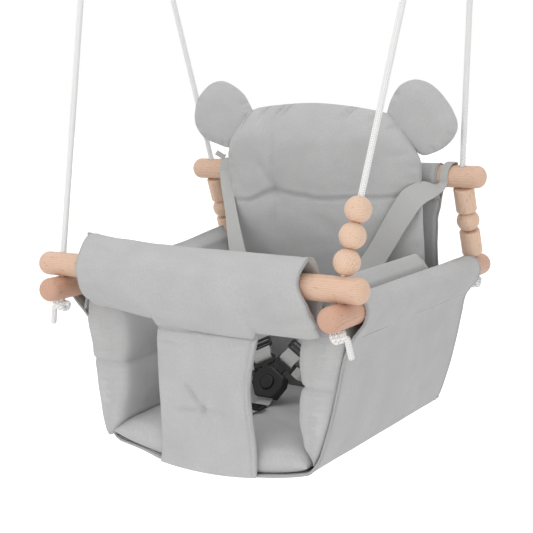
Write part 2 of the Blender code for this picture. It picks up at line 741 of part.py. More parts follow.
def rounded_top(x, z, half_width, top, radius):
    """Pulls a rectangle's two upper corners in to round ones."""
    across = (abs(x) - (half_width - radius)) / radius
    up = (z - (top - radius)) / radius
    if across <= 0 or up <= 0:
        return x, z
    a = across * sqrt(1 - up * up / 2)
    b = up * sqrt(1 - across * across / 2)
    new_x = half_width - radius + a * radius
    return (new_x if x > 0 else -new_x), top - radius + b * radius


def back_cushion(seat, name="back_cushion", margin=0.0):
    """The tall back pad with round upper corners, a channel across and two tufts.

    The margin grows it on every side, for what has to stay clear of it.
    """
    tuft_x = 0.255 * BACK_WIDTH
    width = BACK_WIDTH + 2 * margin
    top = BACK_TOP_Z + margin

    def place(u, v, face):
        x = u * width / 2
        z = BACK_BOTTOM_Z + (top - BACK_BOTTOM_Z) * (v + 1) / 2
        full = crown(u, 4, 0.14) * crown(v, 6, 0.14)
        x, z = rounded_top(x, z, width / 2, top, BACK_CORNER)
        half = BACK_THICKNESS / 2 * full + margin
        if face < 0:
            channel = dent(z - BACK_CHANNEL_Z, 0.014)
            tuft = dent(sqrt((abs(x) - tuft_x) ** 2 + (z - BACK_CHANNEL_Z) ** 2), 0.022)
            half *= 1 - 0.30 * channel - 0.40 * tuft
        return Vector((x, back_centre_y(z) + face * half, z))

    return pillow(name, 9, 11, place, seat, CANVAS)


def ear(side, seat, corner):
    """A flat round pad sewn into the seam at an upper corner of the back cushion."""
    centre = Vector((side * EAR_X, back_centre_y(EAR_Z) + EAR_BEHIND, EAR_Z))

    def place(u, v, face):
        x = u * sqrt(1 - v * v / 2)
        z = v * sqrt(1 - u * u / 2)
        half = EAR_THICKNESS / 2 * crown(min(sqrt(x * x + z * z), 1), 3, 0.15)
        return centre + Vector((x * EAR_DIAMETER / 2, face * half, z * EAR_DIAMETER / 2))

    made = pillow("ear_" + side_name(side), 5, 5, place, seat, CANVAS)
    cut(made, corner)


# Harness

def strap_way(side):
    """Unit vector along a shoulder strap, from the buckle up to the back bar."""
    top = Vector((side * STRAP_FOOT.x, STRAP_FOOT.y, STRAP_FOOT.z))
    return (top - BUCKLE).normalized()


def strap_across(side):
    """Unit vector across a shoulder strap, in the buckle's own plane."""
    return strap_way(side).cross(BUCKLE_OUT).normalized()


def along_strap(side, distance, out=0.0):
    """From the buckle's middle to a place on a shoulder strap's line, or just off it."""
    return strap_way(side) * distance + BUCKLE_OUT * out


def ribbon(name, places, widths, parent, look, thickness=WEBBING):
    """Webbing: a strip through places, each with its half-width vector."""
    sections = [[Vector(p) - Vector(w), Vector(p) + Vector(w)] for p, w in zip(places, widths)]
    return sheet(name, sections, parent, look, thickness)


def plate(name, outlines, thickness, parent, look):
    """A flat plate: the first outline with the others as its holes."""
    curve = bpy.data.curves.new(name, "CURVE")
    curve.dimensions = "2D"
    curve.fill_mode = "BOTH"
    curve.extrude = thickness / 2
    for outline in outlines:
        spline = curve.splines.new("POLY")
        spline.points.add(len(outline) - 1)
        for place, (x, y) in zip(spline.points, outline):
            place.co = (x, y, 0, 1)
        spline.use_cyclic_u = True
    return add(name, curve, parent, look, smooth=False)


def rectangle(width, low, high, corner=0.0):
    """A rectangle centred across, from low to high, with its corners cut off."""
    w = width / 2
    if not corner:
        return [(-w, low), (w, low), (w, high), (-w, high)]
    c = corner
    return [(-w + c, low), (w - c, low), (w, low + c), (w, high - c), (w - c, high), (-w + c, high),
            (-w, high - c), (-w, low + c)]


def stem_from():
    """How far from the buckle's middle a stem starts, with a wall between the two sockets."""
    way = strap_way(1)
    reach = (TONGUE_STEM_WIDTH / 2 + SLOT_PLAY) * way.dot(BUCKLE_UP)
    return (SOCKET_WALL / 2 + reach) / way.x + SLOT_PLAY


def buckle(seat):
    """The buckle's shield-shaped housing with two sockets and a hole for the button."""
    half = BUCKLE_WIDTH / 2
    way = strap_way(1)
    lean = way.x
    rise = way.dot(BUCKLE_UP)
    peak = BUCKLE_SHOULDER / rise
    shoulder = peak - half * lean / rise
    foot = BUCKLE_FOOT_WIDTH / 2
    outline = [(0, peak), (half, shoulder), (half, shoulder - 0.012), (foot, -BUCKLE_FOOT),
               (-foot, -BUCKLE_FOOT), (-half, shoulder - 0.012), (-half, shoulder)]
    flat = plate("buckle_housing", [outline], BUCKLE_THICKNESS, seat, PLASTIC)
    orient(flat, BUCKLE, (1, 0, 0), BUCKLE_UP)
    housing = made_mesh(flat)
    edge = housing.modifiers.new("rounded", "BEVEL")
    edge.width = 0.0022
    edge.segments = 2
    for side in (-1, 1):
        socket = box("socket_" + side_name(side), (TONGUE_STEM_WIDTH + 2 * SLOT_PLAY, 0.020,
                     TONGUE_THICKNESS + 2 * SLOT_PLAY), seat, PLASTIC)
        start = stem_from() - SLOT_PLAY + 0.010
        orient(socket, BUCKLE + along_strap(side, start), strap_across(side), strap_way(side))
        hide_cutter(socket)
        cut(housing, socket)
    well_floor = BUCKLE_THICKNESS / 2 + BUTTON_PROUD - BUTTON_HEIGHT - BUTTON_TRAVEL - GAP
    well = button_body("button_well", BUTTON_DIAMETER / 2 + GAP, 0.010, seat)
    well.location = BUCKLE + BUCKLE_OUT * (well_floor + 0.005)
    hide_cutter(well)
    cut(housing, well)
    gap = 2 * SLOT_PLAY
    slot = box("crotch_slot", (WEBBING_WIDTH - 0.004 + gap, 0.006, WEBBING + gap), seat, PLASTIC)
    orient(slot, BUCKLE - BUCKLE_UP * BUCKLE_FOOT, (1, 0, 0), BUCKLE_UP)
    hide_cutter(slot)
    cut(housing, slot)


def button_body(name, radius, height, seat):
    """A round button whose own Z points out of the buckle."""
    profile = [(0, height / 2), (radius - 0.001, height / 2), (radius, height / 2 - 0.001),
               (radius, -height / 2), (0, -height / 2)]
    return turned(name, profile, seat, PLASTIC, axis=BUCKLE_OUT, steps=18)


def release_button(seat):
    button = button_body("buckle_button", BUTTON_DIAMETER / 2 - GAP, BUTTON_HEIGHT, seat)
    button.location = BUCKLE + BUCKLE_OUT * (BUCKLE_THICKNESS / 2 + BUTTON_PROUD - BUTTON_HEIGHT / 2)


def tongue(side, latch):
    """A latch plate: a narrow stem in the buckle and a wide head with a webbing slot."""
    stem = TONGUE_STEM_WIDTH / 2
    head = TONGUE_HEAD_WIDTH / 2
    low, high = TONGUE_HEAD_FROM, TONGUE_HEAD_TO
    outline = [(-stem, stem_from()), (stem, stem_from()), (stem, low), (head - 0.003, low),
               (head, low + 0.003), (head, high - 0.003), (head - 0.003, high), (-head + 0.003, high),
               (-head, high - 0.003), (-head, low + 0.003), (-head + 0.003, low), (-stem, low)]
    slot = rectangle(WEBBING_WIDTH + 2 * SLOT_PLAY, high - 0.0085, high - 0.0038)
    made = plate("tongue_" + side_name(side), [outline, slot], TONGUE_THICKNESS, latch, PLASTIC)
    orient(made, (0, 0, 0), strap_across(side), strap_way(side))


def triglide(side, latch):
    """The plastic length adjuster that rides on a shoulder strap."""
    half = TRIGLIDE_HEIGHT / 2
    outline = rectangle(TONGUE_HEAD_WIDTH, -half, half, 0.002)
    lower = rectangle(WEBBING_WIDTH + 2 * SLOT_PLAY, -half + 0.0025, -half + 0.0055)
    upper = rectangle(WEBBING_WIDTH + 2 * SLOT_PLAY, half - 0.0055, half - 0.0025)
    made = plate("triglide_" + side_name(side), [outline, lower, upper], TRIGLIDE_THICKNESS, latch, PLASTIC)
    orient(made, along_strap(side, TRIGLIDE_FROM_BUCKLE), strap_across(side), strap_way(side))


def tongue_loop(side, latch):
    """The short webbing loop from the adjuster, through the tongue's slot and back."""
    ply = TONGUE_THICKNESS / 2 + GAP + WEBBING / 2
    end = TRIGLIDE_FROM_BUCKLE - TRIGLIDE_HEIGHT / 2 - GAP
    slot = TONGUE_HEAD_TO - 0.0062
    path = [(end, 0.0012), (end - 0.006, 0.0016), (TONGUE_HEAD_TO + 0.0005, ply), (slot + 0.0012, ply),
            (slot, ply * 0.55), (slot, -ply * 0.55), (slot + 0.0012, -ply), (TONGUE_HEAD_TO + 0.0005, -ply),
            (end - 0.006, -0.0016), (end, -0.0012)]
    places = [along_strap(side, d, n) for d, n in path]
    widths = [strap_across(side) * WEBBING_WIDTH / 2] * len(places)
    ribbon("tongue_loop_" + side_name(side), places, widths, latch, CANVAS)


def shoulder_strap(side, seat):
    """Webbing looped round the back bar that runs down behind the adjuster.

    The right one's loop stands off the bar behind and lies askew.
    """
    ring = BAR_R + GAP + WEBBING / 2 + 0.0004
    name = side_name(side)
    bar_x = Vector((side * WEBBING_WIDTH / 2 * STRAP_GATHER, 0, 0))
    places = []
    widths = []
    for degrees in range(-60, 181, 24):
        a = radians(degrees)
        slack = dent(degrees - 55, 42) if side > 0 else 0.0
        reach = ring + STRAP_SLACK * slack
        x = side * (STRAP_BAR_X + STRAP_SLACK_LEAN * slack)
        places.append(Vector((x, BACK_BAR.y + reach * cos(a), BACK_BAR.z + reach * sin(a))))
        widths.append(bar_x)
    full = (STRAP_FOOT - BUCKLE).length
    across = strap_across(side) * WEBBING_WIDTH / 2
    if across.x * side < 0:
        across = -across
    behind = -STRAP_STANDOFF
    run = ((full - 0.008, 0.008, 0.3), (full - 0.030, 0.017, 0.7), (full - 0.075, 0.018, 1.0),
           (full * 0.55, 0.004, 1.0), (0.105, -0.001, 1.0), (0.086, behind, 1.0), (0.052, behind, 1.0))
    for distance, out, turn in run:
        places.append(BUCKLE + along_strap(side, distance, out))
        widths.append(bar_x.lerp(across, turn))
    ribbon("shoulder_strap_" + name, places, widths, seat, CANVAS)


def waist_strap(side, seat):
    """Webbing from beside the tongue to the gap between the seat and side cushions."""
    outward = strap_across(side) if strap_across(side).x * side > 0 else -strap_across(side)
    beside = BUCKLE + along_strap(side, (TONGUE_HEAD_FROM + TONGUE_HEAD_TO) / 2)
    start = beside + outward * (TONGUE_HEAD_WIDTH / 2 + 2 * GAP)
    end = Vector((side * (SIDE_INNER_X - 0.003), BUCKLE.y + 0.076, BUCKLE.z))
    places = [start, start + outward * 0.012 + Vector((0, 0.002, 0)),
              Vector((side * 0.64 * SIDE_INNER_X, BUCKLE.y + 0.050, BUCKLE.z)), end]
    upright = Vector((0, 0.25, 0.97)).normalized()
    half = WEBBING_WIDTH / 2
    edge = strap_way(side) * half * 0.5
    widths = [edge, edge * 1.2, upright * half, upright * half]
    ribbon("waist_strap_" + side_name(side), places, widths, seat, CANVAS)


def crotch_strap(seat):
    """Webbing from the buckle's foot down to the seat cushion, with a slider on it."""
    half = Vector((WEBBING_WIDTH / 2 - 0.002, 0, 0))
    foot = BUCKLE - BUCKLE_UP * (BUCKLE_FOOT - 0.0025)
    lie = seat_top(1.15 * WEBBING_WIDTH) + GAP + WEBBING / 2
    places = [foot, foot - BUCKLE_UP * 0.0035, Vector((0, foot.y - 0.009, lie + 0.0008)),
              Vector((0, SLIDER_Y + 0.012, lie)), Vector((0, -0.100, lie - 0.0006))]
    ribbon("crotch_strap", places, [half] * len(places), seat, CANVAS)
    low, high = -SLIDER_HEIGHT / 2, SLIDER_HEIGHT / 2
    outline = rectangle(TONGUE_HEAD_WIDTH, low, high, 0.002)
    window = rectangle(WEBBING_WIDTH, low + 0.003, -0.0015)
    upper = rectangle(WEBBING_WIDTH, 0.0015, high - 0.003)
    slider = plate("crotch_slider", [outline, window, upper], TRIGLIDE_THICKNESS, seat, PLASTIC)
    lift = lie + WEBBING / 2 + GAP + TRIGLIDE_THICKNESS / 2
    slider.location = (0, SLIDER_Y, lift)


def seat_top(x):
    """Height of the seat cushion's crown at a place across it."""
    return bottom_height(x) + CLOTH / 2 + GAP + SEAT_THICKNESS + SEAT_EDGE_LIFT * (2 * x / SEAT_WIDTH) ** 2


def strap_tape(seat):
    """The narrow tape at the end of the left shoulder strap, standing up beside its loop."""
    lift = BAR_R + GAP + 0.0004 + WEBBING + GAP + WEBBING / 2
    x = -(STRAP_BAR_X + WEBBING_WIDTH / 2 * STRAP_GATHER)
    foot = Vector((x + 0.006, BACK_BAR.y, BACK_BAR.z + lift))
    way = Vector((-0.86, -0.05, 0.50)).normalized()
    half = Vector((0, 0.0, 1)).cross(way).normalized() * TAPE_WIDTH / 2
    bend = foot + Vector((-0.003, 0, 0))
    places = [foot, bend, bend + way * (TAPE_LENGTH - 0.003)]
    ribbon("strap_tape", places, [half] * 3, seat, CANVAS)


def main():
    clear_scene()
    collection("baby_swing_seat")
    collection("cutters", hidden=True)
    swing = empty("swing_axis", (0, 0, 0))
    seat = empty("seat_frame", (0, -HANG_BACK, -HANG_HEIGHT), swing)
    hang = empty("hang_points", (0, 0, 0))
    bpy.context.view_layer.update()

    drills = {}
    for side in (-1, 1):
        name = side_name(side)
        drills["front", side] = bore_cutter("drill_front_" + name, front_rope_points(side), seat)
        drills["back", side] = bore_cutter("drill_back_" + name, back_rope_points(side), seat)
    bar("front_bar", FRONT_BAR, (1, 0, 0), seat, [drills["front", -1], drills["front", 1]])
    bar("back_bar", BACK_BAR, (1, 0, 0), seat, [drills["back", -1], drills["back", 1]])
    for side in (-1, 1):
        name = side_name(side)
        centre = (side * HOLE_X, ARM_CENTRE_Y, ARM_Z)
        bar("arm_bar_" + name, centre, (0, 1, 0), seat, [drills["front", side], drills["back", side]])
        tube("rope_front_" + name, front_rope_points(side), ROPE_R, seat, ROPE)
        tube("rope_back_" + name, back_rope_points(side), ROPE_R, seat, ROPE)
        spacers(side, seat)
        end_knot("knot_front_" + name, side, ARM_FRONT_HOLE_Y, (0.25, -0.1, -1), seat)
        end_knot("knot_back_" + name, side, ARM_BACK_HOLE_Y, (side * 0.2, 0.2, -1), seat)
        top_fittings(side, hang, seat)
        side_panel(side, seat)
        side_cushion(side, seat)
    front_beads(seat)
    bottom_panel(seat)
    back_panel(seat)
    front_guard(seat)
    crotch_panel(seat)
    seat_cushion(seat)
    back_cushion(seat)
    corner = back_cushion(seat, "back_cushion_allowance", 2 * GAP)
    hide_cutter(corner)
    for side in (-1, 1):
        ear(side, seat, corner)
    buckle(seat)
    release_button(seat)
    crotch_strap(seat)
    for side in (-1, 1):
        latch = empty("latch_" + side_name(side), BUCKLE, seat)
        tongue(side, latch)
        tongue_loop(side, latch)
        triglide(side, latch)
        shoulder_strap(side, seat)
        waist_strap(side, seat)
    strap_tape(seat)


main()
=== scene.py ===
"""Looks of a baby swing seat: cloth bucket, pads, beech bars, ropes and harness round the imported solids.

Metres, +Z up, -Y the way the child faces. Left and right are the viewer's, from the front.
Most pieces are placed in the seat frame, whose origin lies 199 mm behind the front bar's middle.
"""

from functools import cache
from math import atan2, cos, degrees, exp, pi, radians, sin, sqrt

import bmesh
import bpy
from mathutils import Matrix, Vector, noise


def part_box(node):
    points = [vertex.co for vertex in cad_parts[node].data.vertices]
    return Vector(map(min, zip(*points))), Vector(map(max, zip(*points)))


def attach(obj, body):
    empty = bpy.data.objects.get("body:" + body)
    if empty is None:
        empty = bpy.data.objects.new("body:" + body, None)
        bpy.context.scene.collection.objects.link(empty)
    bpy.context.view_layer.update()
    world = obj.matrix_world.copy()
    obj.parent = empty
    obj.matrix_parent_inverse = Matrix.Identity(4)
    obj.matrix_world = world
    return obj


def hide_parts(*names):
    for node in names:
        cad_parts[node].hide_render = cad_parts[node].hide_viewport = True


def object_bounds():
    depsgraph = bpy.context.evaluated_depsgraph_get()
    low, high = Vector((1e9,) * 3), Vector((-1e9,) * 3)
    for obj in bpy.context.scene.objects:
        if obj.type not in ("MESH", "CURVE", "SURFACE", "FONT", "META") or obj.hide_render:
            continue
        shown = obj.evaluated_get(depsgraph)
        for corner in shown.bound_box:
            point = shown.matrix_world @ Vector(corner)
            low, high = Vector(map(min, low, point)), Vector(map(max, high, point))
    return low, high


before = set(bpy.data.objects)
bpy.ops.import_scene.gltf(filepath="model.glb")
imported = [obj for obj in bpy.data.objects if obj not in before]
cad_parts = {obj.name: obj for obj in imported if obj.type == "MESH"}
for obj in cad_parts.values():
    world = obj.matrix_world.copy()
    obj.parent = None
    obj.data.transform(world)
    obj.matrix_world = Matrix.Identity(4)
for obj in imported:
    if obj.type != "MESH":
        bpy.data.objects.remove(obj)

bl_info = {
    "name": "Baby swing seat",
    "version": (1, 0, 0),
    "blender": (4, 5, 0),
    "location": "View3D > Sidebar > Swing seat",
    "description": "Builds a baby swing seat's cloth, wood, ropes and harness",
    "category": "Add Mesh",
}


def middle(node):
    low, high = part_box(node)
    return (low + high) / 2


# Places and sizes shared with the solids
CAD_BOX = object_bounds()
ORIGIN = Vector()
FRONT_BAR_Y = -0.199
SEAT = middle("front_bar") - Vector((0, FRONT_BAR_Y, 0))
BAR_R = 0.015
BAR_HALF = (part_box("front_bar")[1].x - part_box("front_bar")[0].x) / 2
HOLE_X = middle("arm_bar_right").x
ARM = middle("arm_bar_right") - SEAT
BACK_BAR = middle("back_bar") - SEAT
ARM_FRONT_HOLE_Y = -0.202
ARM_BACK_HOLE_Y = 0.198
BORE_R = 0.0048
BEAD_R = 0.0154
SPACER_LENGTH = 0.0355
STACK_LEAN = radians(21.5)
ROPE_R = 0.0038
CLOTH = 0.0018
GAP = 0.0003
SLING_FRONT_Y = -0.168
SLING_BACK_Y = 0.186
FLOOR_FRONT_Y = -0.1775
SLING_BOTTOM_Z = -0.245
SLING_SAG = 0.020
SLING_BOTTOM_HALF = 0.150
STITCH_Z = ARM.z - 0.030
BACK_STITCH_Z = BACK_BAR.z - 0.030
SLEEVE_R = 0.01652
SLEEVE_REAR_Y = 0.17457
BACK_THICKNESS = 0.044
BACK_TOP_Z = 0.196
BACK_BOTTOM_Z = -0.196
SIDE_CUSHION_FRONT_Y = SLING_FRONT_Y + 0.001
WEBBING = 0.0016
WEBBING_HALF = 0.0125
TONGUE_THICKNESS = 0.004
TONGUE_HEAD_FROM = 0.0276
TONGUE_HEAD_TO = 0.0416
TONGUE_HEAD_WIDTH = 0.032
TRIGLIDE_FROM_BUCKLE = 0.060
TRIGLIDE_HEIGHT = 0.014
BUCKLE = Vector((0, -0.024, -0.172))
STRAP_FOOT = Vector((0.1745, BACK_BAR.y - 0.0169, BACK_BAR.z - 0.004))
BUCKLE_UP = Vector((0, STRAP_FOOT.y - BUCKLE.y, STRAP_FOOT.z - BUCKLE.z)).normalized()
BUCKLE_OUT = Vector((0, -BUCKLE_UP.z, BUCKLE_UP.y))

# The ropes' routes on the right, as in the solids, in the frame's own metres
FRONT_ROPE = ((0.2733, -0.0042, -0.04344), (0.2, -0.207, -0.765), (0.2, -0.21, -0.794511),
              (0.2, -0.21, -0.809511))
BACK_ROPE = ((0.2733, 0.0042, -0.04344), (0.2, 0.139738, -0.666914), (0.2, 0.19, -0.794511),
             (0.2, 0.19, -0.809511))

# The camera that the photograph was solved for
CAMERA_AT = (0.7742, -1.2967, -0.5426)
CAMERA_YAW = radians(31.56)
CAMERA_PITCH = radians(-9.04)
CAMERA_ROLL = -0.0124
CAMERA_LENS = 77.15
SIDES = (("left", -1), ("right", 1))


def linear(colour):
    """A hex sRGB colour as linear red, green, blue."""
    channels = [int(colour[i:i + 2], 16) / 255 for i in (0, 2, 4)]
    return [c / 12.92 if c <= 0.04045 else ((c + 0.055) / 1.055) ** 2.4 for c in channels]


def colour_value(name, description, colour):
    return bpy.props.FloatVectorProperty(name=name, description=description, subtype="COLOR",
                                         default=linear(colour))


def length_value(name, description, metres):
    return bpy.props.FloatProperty(name=name, description=description, default=metres, unit="LENGTH")


class SwingColours(bpy.types.PropertyGroup):
    """The colours of the swing's cloth, rope, wood, webbing, plastic and steel."""

    canvas: colour_value("Canvas", "Light grey cotton canvas", "BEBEBE")
    canvas_shade: colour_value("Canvas shade", "Canvas where the yarn is duller", "B4B4B4")
    rope: colour_value("Rope", "White braided polyester", "FCFCFB")
    # Painted shade: the grey put into the pits between the rope's strands
    rope_gap_shade: colour_value("Rope gaps", "Between the rope's strands", "A0A2A4")
    beech: colour_value("Beech", "Oiled beech, early wood", "E4C8B1")
    beech_late: colour_value("Beech late wood", "The darker line of each year's growth", "D2AF93")
    beech_fleck: colour_value("Beech flecks", "The short brown rays of beech", "9E7759")
    webbing: colour_value("Webbing", "Light grey harness webbing", "B9B9B8")
    thread: colour_value("Thread", "Sewing thread of the cloth", "CFCFCF")
    plastic: colour_value("Plastic", "Black moulded acetal", "1C1C1C")
    steel: colour_value("Steel", "Zinc-plated ring wire", "C8C8C8")


class SwingSizes(bpy.types.PropertyGroup):
    """The small sizes that the looks add to the solids."""

    thread_pitch: length_value("Thread pitch", "Distance between two canvas threads as drawn", 0.0022)
    braid_pitch: length_value("Braid pitch", "Length of a braid's repeat along the rope", 0.0052)
    grain_pitch: length_value("Grain pitch", "Width of a year's growth in the beech", 0.0024)
    rib_pitch: length_value("Rib pitch", "Distance between two ribs of the webbing", 0.0020)
    hem_radius: length_value("Hem radius", "Half the thickness of a rolled hem", 0.0019)
    stitch_length: length_value("Stitch length", "Length of one stitch with its gap", 0.0042)
    guard_wall: length_value("Guard wall", "Thickness of the guard's padded cloth", 0.0055)
    plastic_edge: length_value("Plastic edge", "Rounding of the moulded plastic's edges", 0.0005)
    floor_drop: length_value("Floor drop", "Height of the seat's lowest point over the floor", 0.45)


# Materials

def add_node(tree, kind, inputs=(), to=None, **settings):
    """Adds a shader node with its settings, and links its first output to a socket where one is given.

    An input is a plain value, a socket, or a node whose first output is meant.
    """
    node = tree.nodes.new("ShaderNode" + kind)
    for name, value in settings.items():
        setattr(node, name, value)
    for key, value in dict(inputs).items():
        if isinstance(value, bpy.types.Node):
            value = value.outputs[0]
        if isinstance(value, bpy.types.NodeSocket):
            tree.links.new(value, node.inputs[key])
        else:
            node.inputs[key].default_value = value
    if to is not None:
        tree.links.new(node.outputs[0], to)
    return node


def start_finish(name, colour, roughness, metallic=0.0):
    """A new material with its node tree and Principled shader."""
    made = bpy.data.materials.new(name)
    made.use_nodes = True
    shader = made.node_tree.nodes["Principled BSDF"]
    shader.inputs["Base Color"].default_value = (*colour, 1)
    shader.inputs["Roughness"].default_value = roughness
    shader.inputs["Metallic"].default_value = metallic
    return made, made.node_tree, shader


@cache
def cotton_canvas():
    """Plain-woven cotton canvas, piece-dyed: dull, slightly fuzzy, with fine crossing threads."""
    colours, sizes = bpy.context.scene.swing_colours, bpy.context.scene.swing_sizes
    made, tree, shader = start_finish("cotton_canvas", colours.canvas, 0.92)
    # Loose fibres catch light at a grazing angle
    shader.inputs["Sheen Weight"].default_value = 0.10
    shader.inputs["Sheen Roughness"].default_value = 0.5
    shader.inputs["Specular IOR Level"].default_value = 0.25
    lie = add_node(tree, "Attribute", attribute_name="lie").outputs["Vector"]
    axes = add_node(tree, "SeparateXYZ", {0: lie})
    # The real threads are 0.5 mm apart, too fine to show, so they are drawn four times as coarse
    turn = 2 * pi / sizes.thread_pitch
    threads = []
    for axis in ("X", "Y"):
        place = add_node(tree, "Math", {0: axes.outputs[axis], 1: turn}, operation="MULTIPLY")
        threads.append(add_node(tree, "Math", {0: place}, operation="SINE"))
    weave = add_node(tree, "Math", {0: threads[0], 1: threads[1]}, operation="MULTIPLY")
    slub = add_node(tree, "TexNoise", {"Vector": lie, "Scale": 330.0, "Detail": 3.0})
    patch = add_node(tree, "TexNoise", {"Vector": lie, "Scale": 22.0, "Detail": 2.0})
    dull = add_node(tree, "Math", {0: slub, 1: patch}, operation="MULTIPLY")
    shade = add_node(tree, "MapRange", {0: dull, 1: 0.12, 2: 0.42})
    tone = add_node(tree, "Mix", {0: shade, 6: (*colours.canvas_shade, 1), 7: (*colours.canvas, 1)},
                    data_type="RGBA")
    tree.links.new(tone.outputs[2], shader.inputs["Base Color"])
    rough = add_node(tree, "Math", {0: slub, 1: 2.0, 2: weave}, operation="MULTIPLY_ADD")
    add_node(tree, "Bump", {"Height": rough, "Distance": 0.00009}, to=shader.inputs["Normal"])
    return made


@cache
def braided_rope():
    """Braided white polyester cord: smooth filaments in crossing strands, with soft gaps and painted shade
    in them.
    """
    colours, sizes = bpy.context.scene.swing_colours, bpy.context.scene.swing_sizes
    made, tree, shader = start_finish("braided_polyester", colours.rope, 0.62)
    shader.inputs["Sheen Weight"].default_value = 0.15
    lie = add_node(tree, "Attribute", attribute_name="lie").outputs["Vector"]
    axes = add_node(tree, "SeparateXYZ", {0: lie})
    around = add_node(tree, "Math", {0: axes.outputs["Y"], 1: axes.outputs["X"]}, operation="ARCTAN2")
    # Sixteen strands, eight each way round
    strands = add_node(tree, "Math", {0: around, 1: 8.0}, operation="MULTIPLY")
    turn = 2 * pi / sizes.braid_pitch
    along = add_node(tree, "Math", {0: axes.outputs["Z"], 1: turn}, operation="MULTIPLY")
    waves = []
    for way in ("ADD", "SUBTRACT"):
        place = add_node(tree, "Math", {0: strands, 1: along}, operation=way)
        waves.append(add_node(tree, "Math", {0: place}, operation="SINE"))
    # The two ways of winding leave small pits in offset rows where the strands part; their darker colour is
    # painted shade
    height = add_node(tree, "Math", {0: waves[0], 1: waves[1]}, operation="ADD")
    painted_pit_shade = add_node(tree, "MapRange", {0: height, 1: -1.9, 2: -1.3})
    tone = add_node(tree, "Mix", {0: painted_pit_shade, 6: (*colours.rope_gap_shade, 1), 7: (*colours.rope, 1)},
                    data_type="RGBA")
    tree.links.new(tone.outputs[2], shader.inputs["Base Color"])
    add_node(tree, "Bump", {"Height": height, "Distance": 0.0003}, to=shader.inputs["Normal"])
    return made


@cache
def oiled_beech(name="oiled_beech", depth=0.94):
    """Turned beech, fine sanded, thin matt oil: faint rings, short brown ray flecks, soft gloss."""
    colours, sizes = bpy.context.scene.swing_colours, bpy.context.scene.swing_sizes
    # More oil makes the wood deeper and redder; the arm bars' much lower depth is not oil but painted
    # shade, for the shadow they lie in
    early, late_wood = ([c * depth ** k for c, k in zip(colour, (0.55, 1.0, 1.1))]
                        for colour in (colours.beech, colours.beech_late))
    made, tree, shader = start_finish(name, early, 0.52)
    lie = add_node(tree, "Attribute", attribute_name="lie").outputs["Vector"]
    long_fibre = add_node(tree, "Mapping", {"Vector": lie, "Scale": (1, 1, 0.10)})
    sway = add_node(tree, "TexNoise", {"Vector": long_fibre, "Scale": 60.0, "Detail": 2.0})
    flat = add_node(tree, "VectorMath", {0: lie, 1: (1, 1, 0)}, operation="MULTIPLY")
    radius = add_node(tree, "VectorMath", {0: flat}, operation="LENGTH")
    each_year = 1 / sizes.grain_pitch
    years = add_node(tree, "Math", {0: radius.outputs["Value"], 1: each_year}, operation="MULTIPLY")
    wander = add_node(tree, "Math", {0: sway, 1: 2.2, 2: years}, operation="MULTIPLY_ADD")
    year = add_node(tree, "Math", {0: wander}, operation="FRACT")
    late = add_node(tree, "MapRange", {0: year, 1: 0.45, 2: 1.0, 3: 0.0, 4: 0.36})
    fibre = add_node(tree, "TexNoise", {"Vector": long_fibre, "Scale": 900.0, "Detail": 2.0})
    streak = add_node(tree, "Math", {0: fibre, 1: 0.5, 2: late}, operation="MULTIPLY_ADD")
    pale = add_node(tree, "MapRange", {0: streak, 1: 0.15, 2: 0.85})
    tone = add_node(tree, "Mix", {0: pale, 6: (*early, 1), 7: (*late_wood, 1)}, data_type="RGBA")
    # Ray flecks are 0.3 mm wide, drawn twice as wide so that they show
    short_fibre = add_node(tree, "Mapping", {"Vector": lie, "Scale": (1, 1, 0.22)})
    rays = add_node(tree, "TexNoise", {"Vector": short_fibre, "Scale": 620.0, "Detail": 1.0})
    fleck = add_node(tree, "MapRange", {0: rays, 1: 0.64, 2: 0.74, 3: 0.0, 4: 0.55})
    spotted = add_node(tree, "Mix", {0: fleck, 6: tone.outputs[2], 7: (*colours.beech_fleck, 1)},
                       data_type="RGBA")
    tree.links.new(spotted.outputs[2], shader.inputs["Base Color"])
    add_node(tree, "Bump", {"Height": fibre, "Distance": 0.00005}, to=shader.inputs["Normal"])
    return made


@cache
def woven_webbing():
    """Polypropylene harness webbing: tight ribs across, a little glossier than the canvas."""
    colours, sizes = bpy.context.scene.swing_colours, bpy.context.scene.swing_sizes
    made, tree, shader = start_finish("polypropylene_webbing", colours.webbing, 0.7)
    lie = add_node(tree, "Attribute", attribute_name="lie").outputs["Vector"]
    axes = add_node(tree, "SeparateXYZ", {0: lie})
    # Real ribs are about 1 mm apart, too fine to show, so they are drawn twice as coarse
    turn = 2 * pi / sizes.rib_pitch
    ribs = add_node(tree, "Math", {0: axes.outputs["X"], 1: turn}, operation="MULTIPLY")
    rib = add_node(tree, "Math", {0: ribs}, operation="SINE")
    fuzz = add_node(tree, "TexNoise", {"Vector": lie, "Scale": 700.0, "Detail": 2.0})
    height = add_node(tree, "Math", {0: fuzz, 1: 1.5, 2: rib}, operation="MULTIPLY_ADD")
    add_node(tree, "Bump", {"Height": height, "Distance": 0.00014}, to=shader.inputs["Normal"])
    return made


@cache
def sewing_thread():
    """Twisted polyester sewing thread, a shade paler than the canvas."""
    made, tree, shader = start_finish("sewing_thread", bpy.context.scene.swing_colours.thread, 0.7)
    place = add_node(tree, "TexCoord").outputs["Object"]
    twist = add_node(tree, "TexNoise", {"Vector": place, "Scale": 2500.0})
    add_node(tree, "Bump", {"Height": twist, "Distance": 0.0001}, to=shader.inputs["Normal"])
    return made


